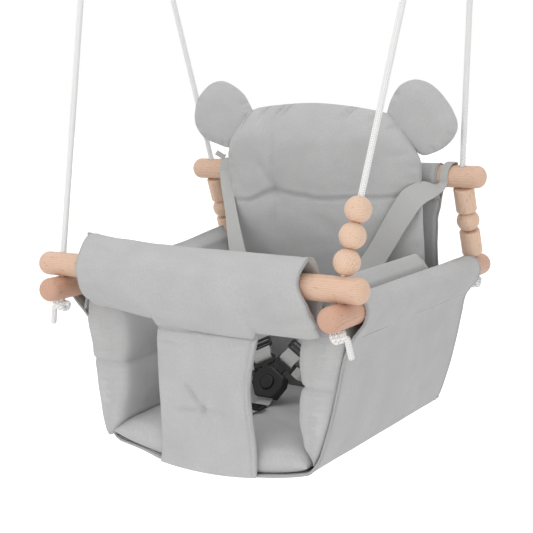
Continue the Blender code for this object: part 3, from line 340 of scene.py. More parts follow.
@cache
def moulded_acetal():
    """Injection-moulded black acetal with a fine spark-eroded grain: even and softly glossy."""
    made, tree, shader = start_finish("moulded_acetal", bpy.context.scene.swing_colours.plastic, 0.38)
    shader.inputs["IOR"].default_value = 1.48
    place = add_node(tree, "TexCoord").outputs["Object"]
    # The real grain is about 0.1 mm, too fine to show, so it is drawn several times as coarse
    grain = add_node(tree, "TexNoise", {"Vector": place, "Scale": 1400.0, "Detail": 2.0})
    add_node(tree, "MapRange", {0: grain, 3: 0.34, 4: 0.50}, to=shader.inputs["Roughness"])
    add_node(tree, "Bump", {"Height": grain, "Distance": 0.00008}, to=shader.inputs["Normal"])
    return made


@cache
def zinc_plated_steel():
    """Drawn steel wire, welded and bright zinc plated: grey metal with faint drawing marks."""
    made, tree, shader = start_finish("zinc_plated_steel", bpy.context.scene.swing_colours.steel, 0.3, 1.0)
    place = add_node(tree, "TexCoord").outputs["Object"]
    marks = add_node(tree, "TexNoise", {"Vector": place, "Scale": 500.0, "Detail": 4.0})
    add_node(tree, "MapRange", {0: marks, 3: 0.22, 4: 0.42}, to=shader.inputs["Roughness"])
    return made


# Making meshes

# Turned and drilled wood shades as sharp where it turns by more than this
SHARP_EDGE = radians(38)


def smooth_table(value, table):
    """A smooth curve through a few (place, size) pairs."""
    if value <= table[0][0]:
        return table[0][1]
    for (a, low), (b, high) in zip(table, table[1:]):
        if value <= b:
            t = (value - a) / (b - a)
            return low + (high - low) * t * t * (3 - 2 * t)
    return table[-1][1]


def straight_table(value, table):
    """Straight runs through a few (place, size) pairs, level past their ends."""
    for (a, low), (b, high) in zip(table, table[1:]):
        if value <= b:
            return low + (high - low) * max((value - a) / max(b - a, 1e-6), 0)
    return table[-1][1]


def ramp(value, start, end):
    """0 up to start, 1 from end on and a smooth rise between them."""
    return smooth_table(value, ((start, 0.0), (end, 1.0)))


def spread(low, high, share):
    """The place between two ends for a share from -1 to 1."""
    return low + (high - low) * (share + 1) / 2


def puff(place, power, edge):
    """How full a pad is from its middle (place 0) to its seam (place 1)."""
    return (1 - min(abs(place), 1.0) ** power) ** edge


def dent(distance, width):
    return exp(-(distance / width) ** 2)


def crease(at, start, end, width):
    """A fold's depth at a place: 1 along the line from start to end, fading beside it and at its ends."""
    at, start, end = Vector(at), Vector(start), Vector(end)
    way = end - start
    share = min(max((at - start).dot(way) / way.length_squared, 0.0), 1.0)
    return dent((at - start - way * share).length, width) * (0.25 + 3 * share * (1 - share))


def dimple(across, up, at, width):
    """A round dent about a point."""
    return dent(sqrt((across - at[0]) ** 2 + (up - at[1]) ** 2), width)


def folds_at(place, folds):
    """How deep a piece's folds are at a place; each fold is (start, end, width, depth)."""
    return sum(depth * crease(place, start, end, width) for start, end, width, depth in folds)


def waver(at, scale, seed):
    """Smooth unevenness between -1 and 1 that repeats the same at each run."""
    return noise.noise(Vector(at) / scale + Vector((seed, 3.1 * seed, 7.7)))


def stuffing(at, broad, fine):
    """How uneven a filled pad's face is; broad and fine are each (height, scale, seed)."""
    return sum(height * waver(at, scale, seed) for height, scale, seed in (broad, fine))


def smooth_line(points, step):
    """Points close together on a smooth curve through a few given ones."""
    given = [Vector(p) for p in points]
    line = []
    for i in range(len(given) - 1):
        before, start, end, after = (given[max(i - 1, 0)], given[i], given[i + 1],
                                     given[min(i + 2, len(given) - 1)])
        span = (end - start).length
        # Neighbours are drawn in to the same span, so that uneven spacing makes no loops
        arrive = start + (before - start) * min(1, span / max((before - start).length, 1e-9))
        leave = end + (after - end) * min(1, span / max((after - end).length, 1e-9))
        count = max(2, round(span / step))
        for k in range(count):
            t = k / count
            line.append(((start * 2) + (end - arrive) * t
                         + (arrive * 2 - start * 5 + end * 4 - leave) * t ** 2
                         + (start * 3 - arrive - end * 3 + leave) * t ** 3) / 2)
    line.append(given[-1])
    return line


def rounded_route(points, bend, step):
    """A route of straight runs whose corners are rounded over a length, with close points."""
    corner_steps = 6
    given = [Vector(p) for p in points]
    stops = [given[0]]
    for before, corner, after in zip(given, given[1:], given[2:]):
        back = (before - corner).normalized() * min(bend, (before - corner).length / 2)
        on = (after - corner).normalized() * min(bend, (after - corner).length / 2)
        for k in range(corner_steps + 1):
            t = k / corner_steps
            stops.append(corner + back * (1 - t) ** 2 + on * t ** 2)
    stops.append(given[-1])
    line = []
    for start, end in zip(stops, stops[1:]):
        count = max(1, round((end - start).length / step))
        line += [start.lerp(end, k / count) for k in range(count)]
    return [*line, stops[-1]]


def length_of(points):
    points = [Vector(p) for p in points]
    return sum((b - a).length for a, b in zip(points, points[1:]))


def finish_mesh(bm, name, smooth=True):
    bmesh.ops.recalc_face_normals(bm, faces=bm.faces[:])
    mesh = bpy.data.meshes.new(name)
    bm.to_mesh(mesh)
    bm.free()
    if smooth:
        mesh.shade_smooth()
    return mesh


def start_mesh():
    """A new mesh and the layer that holds each vertex's place in its cloth or wood."""
    bm = bmesh.new()
    return bm, bm.verts.layers.float_vector.new("lie")


def join_rings(bm, rings):
    """Faces between each ring of vertices and the next."""
    for a, b in zip(rings, rings[1:]):
        for k in range(len(a)):
            n = (k + 1) % len(a)
            bm.faces.new((a[k], a[n], b[n], b[k]))


def add_tube(bm, points, radius, sides=12):
    """A round rope or wire with rounded ends; each vertex knows its place around and along it."""
    lie = bm.verts.layers.float_vector.get("lie") or bm.verts.layers.float_vector.new("lie")
    across = (points[1] - points[0]).normalized().orthogonal().normalized()
    along = 0.0
    rings = []
    last = len(points) - 1
    end_share, end_reach = 0.55, 0.45
    stops = [(0, end_share)] + [(i, 1.0) for i in range(last + 1)] + [(last, end_share)]
    for count, (i, share) in enumerate(stops):
        way = (points[min(i + 1, last)] - points[max(i - 1, 0)]).normalized()
        across = (across - way * across.dot(way)).normalized()
        up = way.cross(across)
        if i:
            along += (points[i] - points[i - 1]).length if share == 1 else 0
        cap = radius * end_reach * (-1 if count == 0 else 1) if share < 1 else 0
        ring = []
        for k in range(sides):
            turn = 2 * pi * k / sides
            out = across * cos(turn) + up * sin(turn)
            vert = bm.verts.new(points[i] + out * radius * share + way * cap)
            vert[lie] = (cos(turn), sin(turn), along + cap)
            ring.append(vert)
        rings.append(ring)
    join_rings(bm, rings)
    for ring in (rings[0], rings[-1]):
        bm.faces.new(ring)


def tube_mesh(name, points, radius, sides=12):
    bm = bmesh.new()
    add_tube(bm, points, radius, sides)
    return finish_mesh(bm, name)


def lathe_mesh(name, profile, pith, grain=(0, 0, 1)):
    """A turned piece of wood about its own Z; each vertex knows its place in the log it is cut from."""
    steps = 64
    bm, lie = start_mesh()
    verts = [bm.verts.new((r, 0, h)) for r, h in profile]
    edges = [bm.edges.new(pair) for pair in zip(verts, verts[1:])]
    if profile[0][0] > 1e-6:
        edges.append(bm.edges.new((verts[-1], verts[0])))
    bmesh.ops.spin(bm, geom=verts + edges, axis=(0, 0, 1), cent=(0, 0, 0), angle=2 * pi, steps=steps)
    bmesh.ops.remove_doubles(bm, verts=bm.verts[:], dist=1e-6)
    turn = Vector(grain).rotation_difference(Vector((0, 0, 1)))
    for vert in bm.verts:
        vert[lie] = turn @ vert.co + Vector(pith)
    mesh = finish_mesh(bm, name)
    mesh.set_sharp_from_angle(angle=SHARP_EDGE)
    return mesh


def stand_in_place(mesh, node, axis):
    """Turns a mesh from its own Z to an axis and moves it to the middle of its solid."""
    turn = Vector((0, 0, 1)).rotation_difference(Vector(axis)).to_matrix().to_4x4()
    mesh.transform(Matrix.Translation(middle(node)) @ turn)


def cloth_mesh(name, rows):
    """A sheet through rows of points; each vertex knows its place along both threads, in metres."""
    bm, lie = start_mesh()
    grid = []
    down = 0.0
    for i, row in enumerate(rows):
        centre = len(row) // 2
        if i:
            down += (row[centre] - rows[i - 1][centre]).length
        along = 0.0
        line = []
        for k, point in enumerate(row):
            if k:
                along += (point - row[k - 1]).length
            vert = bm.verts.new(point)
            vert[lie] = (down, along, 0)
            line.append(vert)
        grid.append(line)
    for a, b in zip(grid, grid[1:]):
        for k in range(len(a) - 1):
            bm.faces.new((a[k], b[k], b[k + 1], a[k + 1]))
    return finish_mesh(bm, name)


def pad_mesh(name, cells, size, place):
    """A closed pad of two cloth faces sewn together all round; place(u, v, face) gives a point."""
    bm, lie = start_mesh()
    for face in (1, -1):
        made = bmesh.ops.create_grid(bm, x_segments=cells[0], y_segments=cells[1], size=1)
        for vert in made["verts"]:
            u, v = (c * (3 - c * c) / 2 for c in vert.co[:2])
            vert[lie] = (u * size[0] / 2, v * size[1] / 2, 0.2 * face)
            vert.co = place(u, v, face)
    bmesh.ops.remove_doubles(bm, verts=bm.verts[:], dist=2e-5)
    return finish_mesh(bm, name)


def piece(name, mesh, finish, body="seat", replaces=(), at=SEAT):
    """A finished piece that rides on its body and stands for its solids."""
    made = bpy.data.objects.new(name, mesh)
    bpy.context.scene.collection.objects.link(made)
    made.location = at
    mesh.materials.append(finish)
    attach(made, body)
    if replaces:
        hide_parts(*replaces)
    return made


def canvas_piece(name, mesh, *nodes):
    """A piece of cotton canvas that stands for its solids, where it has any."""
    return piece(name, mesh, cotton_canvas(), replaces=nodes)


def pad(name, node, cells, size, place):
    """A filled canvas pad in place of its solid."""
    canvas_piece(name, pad_mesh(name, cells, size, place), node)


def thicken(made, thickness):
    """Gives a sheet its thickness, half on each side."""
    solid = made.modifiers.new("cloth", "SOLIDIFY")
    solid.thickness = thickness
    solid.offset = 0
    solid.use_even_offset = True


def stitches(name, line, out):
    """A row of sewn stitches that follows a line on the cloth, each a short raised thread."""
    pitch = bpy.context.scene.swing_sizes.stitch_length
    half, thread_r = pitch * 0.34, 0.0004
    sunk, raised = Vector(out) * 0.0003, Vector(out) * 0.0007
    points = [Vector(p) for p in line]
    bm = bmesh.new()
    walked = 0.0
    for start, end in zip(points, points[1:]):
        length = (end - start).length
        while walked < length:
            way = (end - start).normalized()
            foot = start + way * walked
            add_tube(bm, [foot - way * half + sunk, foot + raised, foot + way * half + sunk], thread_r, 6)
            walked += pitch
        walked -= length
    return piece(name, finish_mesh(bm, name), sewing_thread())


# Ropes, knots and rings

def mirrored(points, side):
    return [Vector((p[0] * side, p[1], p[2])) for p in points]


# Each stopper knot: its hole's Y, its axis, the way of its loose end, its turns and its shift aside
KNOTS = {
    "front_left": (ARM_FRONT_HOLE_Y, (-1, 0.1, 0.12), (-0.10, -0.05, -1), 3.5, 0.0035),
    "back_left": (ARM_BACK_HOLE_Y, (1, -0.2, -0.1), (0.9, -0.1, -0.5), 2.5, 0.0),
    "front_right": (ARM_FRONT_HOLE_Y, (1, 0.15, 0.35), (0.32, -0.1, -1), 2.5, 0.0),
    "back_right": (ARM_BACK_HOLE_Y, (-1, -0.2, -0.1), (-0.9, -0.1, -0.5), 2.5, 0.0)}


def knot_route(side, hole_y, axis, tail, turns, aside):
    """Out of the bar, round in a barrel knot under it, and off as the cut end."""
    axis, tail = Vector(axis).normalized(), Vector(tail).normalized()
    top = Vector((side * HOLE_X, hole_y, ARM.z - BAR_R - 0.0045)) + SEAT
    centre = top - Vector((0, 0, 0.0036))
    up = (Vector((0, 0, 1)) - axis * axis.z).normalized()
    across = axis.cross(up)
    pitch, radius, steps = 0.0061, 0.0040, 12
    route = [top + Vector((0, 0, 0.006)), top]
    for k in range(int(turns * steps) + 1):
        turn = 2 * pi * k / steps
        shift = pitch * (k / steps - turns / 2) + aside
        route.append(centre + axis * shift + (up * cos(turn) + across * sin(turn)) * radius)
    return route + [route[-1] + tail * reach for reach in (0.007, 0.015, 0.022)]


class SWING_OT_ropes(bpy.types.Operator):
    """The four ropes, their stopper knots, and the knots and bights that hold them on the rings"""

    bl_idname = "swing.ropes"
    bl_label = "Ropes and knots"

    def execute(self, context):
        for name, side in SIDES:
            for end in ("front", "back"):
                route = smooth_line(knot_route(side, *KNOTS[f"{end}_{name}"]), 0.0012)
                self.rope(f"stopper_{end}_{name}", f"knot_{end}_{name}", route, ROPE_R * 0.95)
            gather = self.rope(f"gathering_knot_{name}", f"top_knot_{name}", self.wraps(name), ROPE_R)
            bight = self.rope(f"bight_{name}", f"rope_bight_{name}", self.turn_over(name), ROPE_R)
            for end, route, upper in (("front", FRONT_ROPE, [gather, bight]), ("back", BACK_ROPE, [])):
                line = rounded_route(reversed(mirrored(route, side)), 0.012, 0.005)
                made = self.rope(f"{end}_rope_{name}", f"rope_{end}_{name}", line, ROPE_R)
                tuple(line[0])
                length_of(line)
        return {"FINISHED"}

    def rope(self, name, node, line, radius):
        return piece(name, tube_mesh(node, line, radius), braided_rope(), replaces=(node,), at=ORIGIN)

    def wraps(self, name):
        """The knot that gathers two ropes under their ring, as turns side by side."""
        top = middle(f"top_knot_{name}")
        across, deep, pitch = 0.0088, 0.0092, 2 * ROPE_R
        turns, steps = 3, 16
        route = []
        for k in range(turns * steps + 1):
            turn = 2 * pi * k / steps
            route.append(top + Vector((across * cos(turn), deep * sin(turn),
                                       pitch * (k / steps - turns / 2))))
        return route

    def turn_over(self, name):
        """The rope's turn over its ring, from the gathering knot and back into it."""
        top = middle(f"top_knot_{name}")
        low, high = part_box(f"rope_bight_{name}")
        reach = (high.y - low.y) / 2 - ROPE_R
        crest = high.z - ROPE_R - reach
        up = [(top.x, top.y + reach * 0.62, top.z - 0.010), (top.x, top.y + reach * 0.9, top.z + 0.014)]
        over = [(top.x, top.y + reach * cos(a), crest + reach * sin(a)) for a in
                (pi * i / 8 for i in range(9))]
        down = [(x, 2 * top.y - y, z) for x, y, z in reversed(up)]
        return smooth_line([*up, *over, *down], 0.002)


class SWING_OT_rings(bpy.types.Operator):
    """The two steel rings that the swing hangs from"""

    bl_idname = "swing.rings"
    bl_label = "Rings"

    def execute(self, context):
        steps = 72
        for name in ("left", "right"):
            low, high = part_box(f"ring_{name}")
            centre = (low + high) / 2
            wire = (high.y - low.y) / 2
            radius = (high.z - low.z) / 2 - wire
            loop = [centre + Vector((radius * cos(a), 0, radius * sin(a)))
                    for a in (2 * pi * k / steps for k in range(steps + 1))]
            piece(f"steel_ring_{name}", tube_mesh("ring", loop, wire, 20), zinc_plated_steel(),
                  body="hangers", replaces=(f"ring_{name}",), at=ORIGIN)
        return {"FINISHED"}


# Wood

def arc(centre_r, centre_h, radius, start, end, count):
    """Points of a profile's round stretch; angles in degrees from the outward direction."""
    angles = [radians(start + (end - start) * i / count) for i in range(count + 1)]
    return [(centre_r + radius * cos(a), centre_h + radius * sin(a)) for a in angles]


def bored(made, routes):
    """Drills the rope's holes through a bar."""
    for route in routes:
        drill = bpy.data.objects.new("drill", tube_mesh("drill", route, BORE_R, 24))
        bpy.context.scene.collection.objects.link(drill)
        hole = made.modifiers.new("hole", "BOOLEAN")
        hole.operation = "DIFFERENCE"
        hole.solver = "EXACT"
        hole.object = drill
    bpy.context.view_layer.update()
    graph = bpy.context.evaluated_depsgraph_get()
    cut = bpy.data.meshes.new_from_object(made.evaluated_get(graph))
    for modifier in list(made.modifiers):
        bpy.data.objects.remove(modifier.object)
        made.modifiers.remove(modifier)
    made.data = cut
    cut.set_sharp_from_angle(angle=SHARP_EDGE)


class SWING_OT_bars(bpy.types.Operator):
    """The four beech bars with round ends and the ropes' holes"""

    bl_idname = "swing.bars"
    bl_label = "Bars"

    def execute(self, context):
        rounding = 0.012
        end = arc(BAR_R - rounding, BAR_HALF - rounding, rounding, 90, 0, 10)
        # Rings along the shaft keep its faces short
        shaft = [(BAR_R, h * BAR_HALF * 0.94) for h in (0.75, 0.5, 0.25, 0, -0.25, -0.5, -0.75)]
        profile = [(0, BAR_HALF), *end, *shaft, *[(r, -h) for r, h in reversed(end)], (0, -BAR_HALF)]
        # Each bar: its axis, the ropes and the sides that it is drilled for, and its place in the log
        bars = (("front_bar", (1, 0, 0), (FRONT_ROPE,), (-1, 1), (0.021, 0.012, 0.03)),
                ("back_bar", (1, 0, 0), (BACK_ROPE,), (-1, 1), (0.030, -0.010, 0.4)),
                ("arm_bar_left", (0, 1, 0), (FRONT_ROPE, BACK_ROPE), (-1,), (-0.022, 0.016, 0.8)),
                ("arm_bar_right", (0, 1, 0), (FRONT_ROPE, BACK_ROPE), (1,), (0.018, 0.024, 1.2)))
        for node, axis, ropes, sides, pith in bars:
            mesh = lathe_mesh(node, profile, pith)
            stand_in_place(mesh, node, axis)
            arm = node.startswith("arm")
            # The arm bars get a darker copy of the beech: painted shade for the shadow they lie in
            wood = oiled_beech("oiled_beech_arms_painted_shade", 0.64) if arm else oiled_beech("oiled_beech_bars", 0.86)
            made = piece(node.replace("bar", "beech"), mesh, wood, replaces=(node,), at=ORIGIN)
            routes = []
            for side in sides:
                for rope in ropes:
                    route = mirrored(rope, side)
                    upper = route[1] + (route[0] - route[1]).normalized() * 0.06
                    routes.append([upper, *route[1:3], route[3] - Vector((0, 0, 0.02))])
            bored(made, routes)
        return {"FINISHED"}


class SWING_OT_beads(bpy.types.Operator):
    """The balls and cylinders threaded on the ropes"""

    bl_idname = "swing.beads"
    bl_label = "Beads and spacers"

    def execute(self, context):
        # A ball's arc stops at its bore, with 2 % to spare for the bore's edge
        edge = 90 - degrees(1.02 * BORE_R / BEAD_R)
        ball = arc(0, 0, BEAD_R, edge, -edge, 28)
        ball = [(BORE_R, ball[0][1]), *ball, (BORE_R, ball[-1][1])]
        half = SPACER_LENGTH / 2
        radius, chamfer = 0.014, 0.0022
        rounding = arc(radius - chamfer, half - chamfer, chamfer, 80, 10, 4)
        turned = [(BORE_R, half), (radius - chamfer, half), *rounding, (radius, half - chamfer)]
        spacer = [*turned, (radius, 0), *[(r, -h) for r, h in reversed(turned)]]
        up_rope = (Vector(FRONT_ROPE[0]) - Vector(FRONT_ROPE[1])).normalized()
        up_stack = Vector((0, -sin(STACK_LEAN), cos(STACK_LEAN)))
        # Each piece: its outline, its rope's way, its grain's way and its place in the log
        pieces = [("bead_lower", ball, up_rope, (0.2, 1, 0.1), (0.010, 0.004, 2.0)),
                  ("bead_middle", ball, up_rope, (0.42, -1, 0.25), (0.004, 0.002, 2.4)),
                  ("bead_upper", ball, up_rope, (1, 0.3, 0.4), (0.014, 0.010, 2.8))]
        for name, side in SIDES:
            pieces += [(f"spacer_lower_{name}", spacer, up_stack, (0, 0, 1), (0.013 * side, 0.009, 3.1)),
                       (f"spacer_ball_{name}", ball, up_stack, (1, 0.2 * side, 0.6), (0.012, 0.006, 3.7)),
                       (f"spacer_upper_{name}", spacer, up_stack, (0, 0, 1), (0.010, 0.014 * side, 4.1))]
        for node, profile, axis, grain, pith in pieces:
            mesh = lathe_mesh(node, profile, pith, grain)
            stand_in_place(mesh, node, axis)
            piece(node + "_beech", mesh, oiled_beech(), body=node, replaces=(node,), at=ORIGIN)
        return {"FINISHED"}


# Cloth bucket

def floor_height(x):
    return SLING_BOTTOM_Z + SLING_SAG * (x / SLING_BOTTOM_HALF) ** 2


def side_slope():
    """The bucket's right side below its sleeve, as (outward, up) going up."""
    return [(0.1540, -0.214), (0.1605, -0.196), (0.1700, -0.165), (0.1790, -0.127), (0.1880, -0.086),
            (HOLE_X - 0.0030, STITCH_Z - 0.004)]


def over_bar(centre_across, centre_up, from_degrees, to_degrees):
    """A sleeve's round stretch over its bar."""
    return arc(centre_across, centre_up, SLEEVE_R, from_degrees, to_degrees, 14)


def bucket_profile():
    """Half of the bucket's outline from the floor's middle to the end of the sleeve's inner flap."""
    floor = [(x, floor_height(x)) for x in (0.0, 0.030, 0.060, 0.090, 0.115, 0.135)]
    corner = [(0.1475, -0.2245)]
    sleeve = [(HOLE_X + 0.0125, ARM.z - 0.014), *over_bar(HOLE_X, ARM.z, -20, 200),
              (HOLE_X - 0.0135, ARM.z - 0.014), (HOLE_X - 0.0068, STITCH_Z - 0.002)]
    flat = smooth_line([(x, 0, z) for x, z in floor + corner + side_slope() + sleeve], 0.005)
    return [(p.x, p.z) for p in flat]


def bucket_front(x, z):
    """Y of the bucket's front edge; at the left it stands back behind the pads."""
    edge = smooth_table(z, ((-0.232, FLOOR_FRONT_Y), (-0.205, SLING_FRONT_Y)))
    back = ramp(-x, 0.060, 0.145) * ramp(-z, 0.050, 0.085)
    return edge + (-0.1575 - edge) * back


def bucket_rear(z):
    return smooth_table(z, ((STITCH_Z - 0.035, SLING_BACK_Y), (STITCH_Z, SLEEVE_REAR_Y)))


def left_ease(x, z):
    """How far the bucket's left side bellies out low down in front."""
    return 0.0095 * dent(z + 0.216, 0.065) * ramp(-x, 0.080, 0.155)


class SWING_OT_bucket(bpy.types.Operator):
    """The cloth bucket: floor and sides in one U, with a sleeve on each arm bar, and the back"""

    bl_idname = "swing.bucket"
    bl_label = "Bucket"

    def execute(self, context):
        half = bucket_profile()
        whole = [(-x, z) for x, z in reversed(half[1:])] + half
        rows = []
        count = 44
        for i in range(count + 1):
            row = []
            for k, (x, z) in enumerate(whole):
                front, rear = bucket_front(x, z), bucket_rear(z)
                y = front + (rear - front) * i / count
                before, after = whole[max(k - 1, 0)], whole[min(k + 1, len(whole) - 1)]
                out = Vector((after[1] - before[1], 0, before[0] - after[0])).normalized()
                ease = 0.0011 * (waver((x, y, z), 0.055, 2) + 1) / 2
                pull = 0.0012 * crease((y, z), (-0.166, -0.215), (-0.110, -0.150), 0.010)
                ease += left_ease(x, z) * (1 - i / count)
                row.append(Vector((x, y, z)) + out * (ease + (pull if abs(x) > 0.14 and z < -0.07 else 0)))
            rows.append(row)
        bucket = canvas_piece("canvas_bucket", cloth_mesh("bucket", rows), "sling_side_left",
                              "sling_side_right", "sling_bottom")
        thicken(bucket, CLOTH)
        edge = [p + Vector((0, -0.0004, 0)) for p in rows[0]]
        hem = canvas_piece("bucket_hem", tube_mesh("hem", edge, context.scene.swing_sizes.hem_radius, 10))
        rear_edge = canvas_piece("bucket_rear_hem", tube_mesh("rear_hem", rows[-1], CLOTH * 0.8, 8))
        for name, side in SIDES:
            line = [(side * (HOLE_X - 0.0022), y, STITCH_Z - 0.005) for y in
                    (SLING_FRONT_Y + 0.004, 0.0, SLEEVE_REAR_Y - 0.004)]
            stitches(f"sleeve_stitches_{name}", line, (side, 0, -0.4))
        width = length_of((x, 0, z) for x, z in whole)
        self.back()
        return {"FINISHED"}

    def back(self):
        """The cloth back, with its sleeve round the back bar."""
        y, z = BACK_BAR.y, BACK_BAR.z
        given = [(y - 0.0015, BACK_STITCH_Z - 0.002), (y - 0.0135, z - 0.014), *over_bar(y, z, 200, -20),
                 (y + 0.0125, z - 0.014), (y + 0.003, BACK_STITCH_Z - 0.004), (0.159, 0.0), (0.170, -0.080),
                 (0.179, -0.160), (SLING_BACK_Y - CLOTH, -0.214)]
        profile = [(p.y, p.z) for p in smooth_line([(0, a, b) for a, b in given], 0.006)]
        half_width = ((-0.214, 0.1530), (-0.196, 0.1600), (-0.165, 0.1630), (-0.120, 0.1605), (0.0, 0.1600),
                      (0.035, 0.1625), (BACK_STITCH_Z - 0.015, 0.1635), (BACK_STITCH_Z, 0.1625))
        rows = []
        for y, z in profile:
            half = smooth_table(z, half_width)
            aside = smooth_table(z, ((BACK_STITCH_Z - 0.030, 0.0), (BACK_STITCH_Z, 0.0062)))
            foot = max(-z - 0.160, 0.0) / 0.054
            rows.append([Vector((half * u + aside, y + 0.0009 * waver((half * u, z, 0), 0.06, 5),
                                 z + foot * (floor_height(half * u) + 0.0012 + 0.0018 * u ** 8 + 0.214)))
                         for u in (k / 20 - 1 for k in range(41))])
        made = canvas_piece("canvas_back", cloth_mesh("back", rows), "sling_back")
        thicken(made, CLOTH)
        hems = [canvas_piece(f"back_hem_{name}", tube_mesh("hem", [row[k] for row in rows], 0.0015, 8))
                for name, k in (("left", 0), ("right", -1))]
        line = [(x, BACK_BAR.y - 0.003, BACK_STITCH_Z - 0.001) for x in (-0.152, 0, 0.163)]
        sewn = stitches("back_sleeve_stitches", line, (0, -1, 0))
        length = length_of((0, y, z) for y, z in profile)


# Front guard and crotch panel

# How far the guard's section reaches from the front bar's middle
GUARD_BACK = 0.023
GUARD_FRONT = 0.025
GUARD_UP = 0.040
GUARD_DOWN = 0.060


def guard_point(turn, wall):
    """The guard's section round the front bar, as (back, up), a wall's thickness inside the outer one."""
    y = cos(turn) * (GUARD_BACK if cos(turn) > 0 else GUARD_FRONT)
    z = sin(turn) * (GUARD_UP if sin(turn) > 0 else GUARD_DOWN)
    low = min(z, 0.0) / -GUARD_DOWN
    y = y * (1 - 0.72 * low ** 2)
    if z > 0:
        y *= 1 - 0.15 * (z / GUARD_UP) ** 2
    if wall:
        y = max(abs(y) - wall, 0.0006) * (1 if y > 0 else -1)
        z *= (GUARD_UP - wall) / GUARD_UP if z > 0 else (GUARD_DOWN - 2.2 * wall) / GUARD_DOWN
    return FRONT_BAR_Y + y + 0.012 * low ** 1.5, z


class SWING_OT_guard(bpy.types.Operator):
    """The padded sleeve on the front bar, open at both ends"""

    bl_idname = "swing.guard"
    bl_label = "Front guard"
    # Each fold: start, end, width and depth; the last one is a bulge
    folds = (((-0.148, -0.022), (-0.108, -0.044), 0.0050, 0.0034),
             ((0.154, -0.004), (0.100, -0.030), 0.0060, 0.0030),
             ((0.160, -0.040), (0.110, -0.050), 0.0050, 0.0020),
             ((-0.148, 0.028), (-0.100, 0.022), 0.0050, 0.0018),
             ((-0.060, 0.030), (0.030, 0.020), 0.0070, 0.0016),
             ((-0.080, -0.020), (0.060, -0.030), 0.0120, -0.0014))

    def execute(self, context):
        wall = context.scene.swing_sizes.guard_wall
        around, along = 80, 96
        stations = [(2 * i / along - 1, 0.0) for i in range(along + 1)]
        inner = [(share, 1.0) for share, depth in reversed(stations)]
        lip = ((0.010, 0.20), (0.013, 0.50), (0.010, 0.80))
        lips = [[(1 + bulge, depth) for bulge, depth in lip],
                [(-1 - bulge, depth) for bulge, depth in reversed(lip)]]
        bm, lie = start_mesh()
        grid = []
        for share, depth in stations + lips[0] + inner + lips[1]:
            line = []
            for k in range(around):
                turn = 2 * pi * k / around
                vert = bm.verts.new(self.place(share, turn, depth, wall))
                vert[lie] = (share * 0.165, turn * 0.045, depth)
                line.append(vert)
            grid.append(line)
        join_rings(bm, [*grid, grid[0]])
        canvas_piece("padded_guard", finish_mesh(bm, "guard"), "front_guard")
        for name, side in SIDES:
            rim = [self.place(side * 1.006, 2 * pi * k / around, 0.22, wall) for k in range(around)]
            canvas_piece(f"guard_hem_{name}", tube_mesh("hem", [*rim, rim[0], rim[1]], 0.0013, 8))
        return {"FINISHED"}

    def place(self, share, turn, depth, wall):
        """A point of the guard: share along it, turn round the bar, depth 0 outside and 1 inside."""
        y0, z0 = guard_point(turn, 0.0)
        y1, z1 = guard_point(turn, wall)
        y, z = y0 + (y1 - y0) * depth, z0 + (z1 - z0) * depth
        left = smooth_table(z, ((-GUARD_DOWN, 0.1480), (-0.055, 0.1620), (-0.042, 0.1630),
                                (-0.010, 0.1562), (GUARD_UP, 0.1500)))
        right = smooth_table(z, ((-GUARD_DOWN, 0.1690), (-0.022, 0.1650), (0.010, 0.1560),
                                 (GUARD_UP, 0.1590)))
        if y > FRONT_BAR_Y:
            left, right = left + (0.158 - left) * 0.6, right + (0.163 - right) * 0.6
        x = (right + left) / 2 * share + (right - left) / 2
        top = smooth_table(x, ((-0.155, 0.0430), (-0.105, 0.0385), (-0.045, 0.0352), (0.030, 0.0340),
                               (0.160, 0.0330)))
        foot = smooth_table(x, ((-0.150, -0.0520), (-0.060, -0.0604), (0.060, -0.0634), (0.150, -0.0636),
                                (0.170, -0.060)))
        # In front of the crotch panel the cloth runs on down to their seam
        foot -= 0.0080 * smooth_table(x, ((-0.0645, 0.0), (-0.0615, 1.0), (0.0795, 1.0), (0.0825, 0.0)))
        z *= top / GUARD_UP if z > 0 else foot / -GUARD_DOWN
        if depth < 0.9:
            front = 1 if y < FRONT_BAR_Y else 0.3
            uneven = 0.0016 * waver((x, z, 0.1 * turn), 0.038, 4) + 0.0005 * waver((x, z, 0), 0.012, 5)
            y += (folds_at((x, z), self.folds) - uneven) * front
            z += max(z / GUARD_UP, 0) * dent(1 - abs(share), 0.10) * 0.0016 * waver((x, 0, 0), 0.006, 17)
        return Vector((x, y, z))


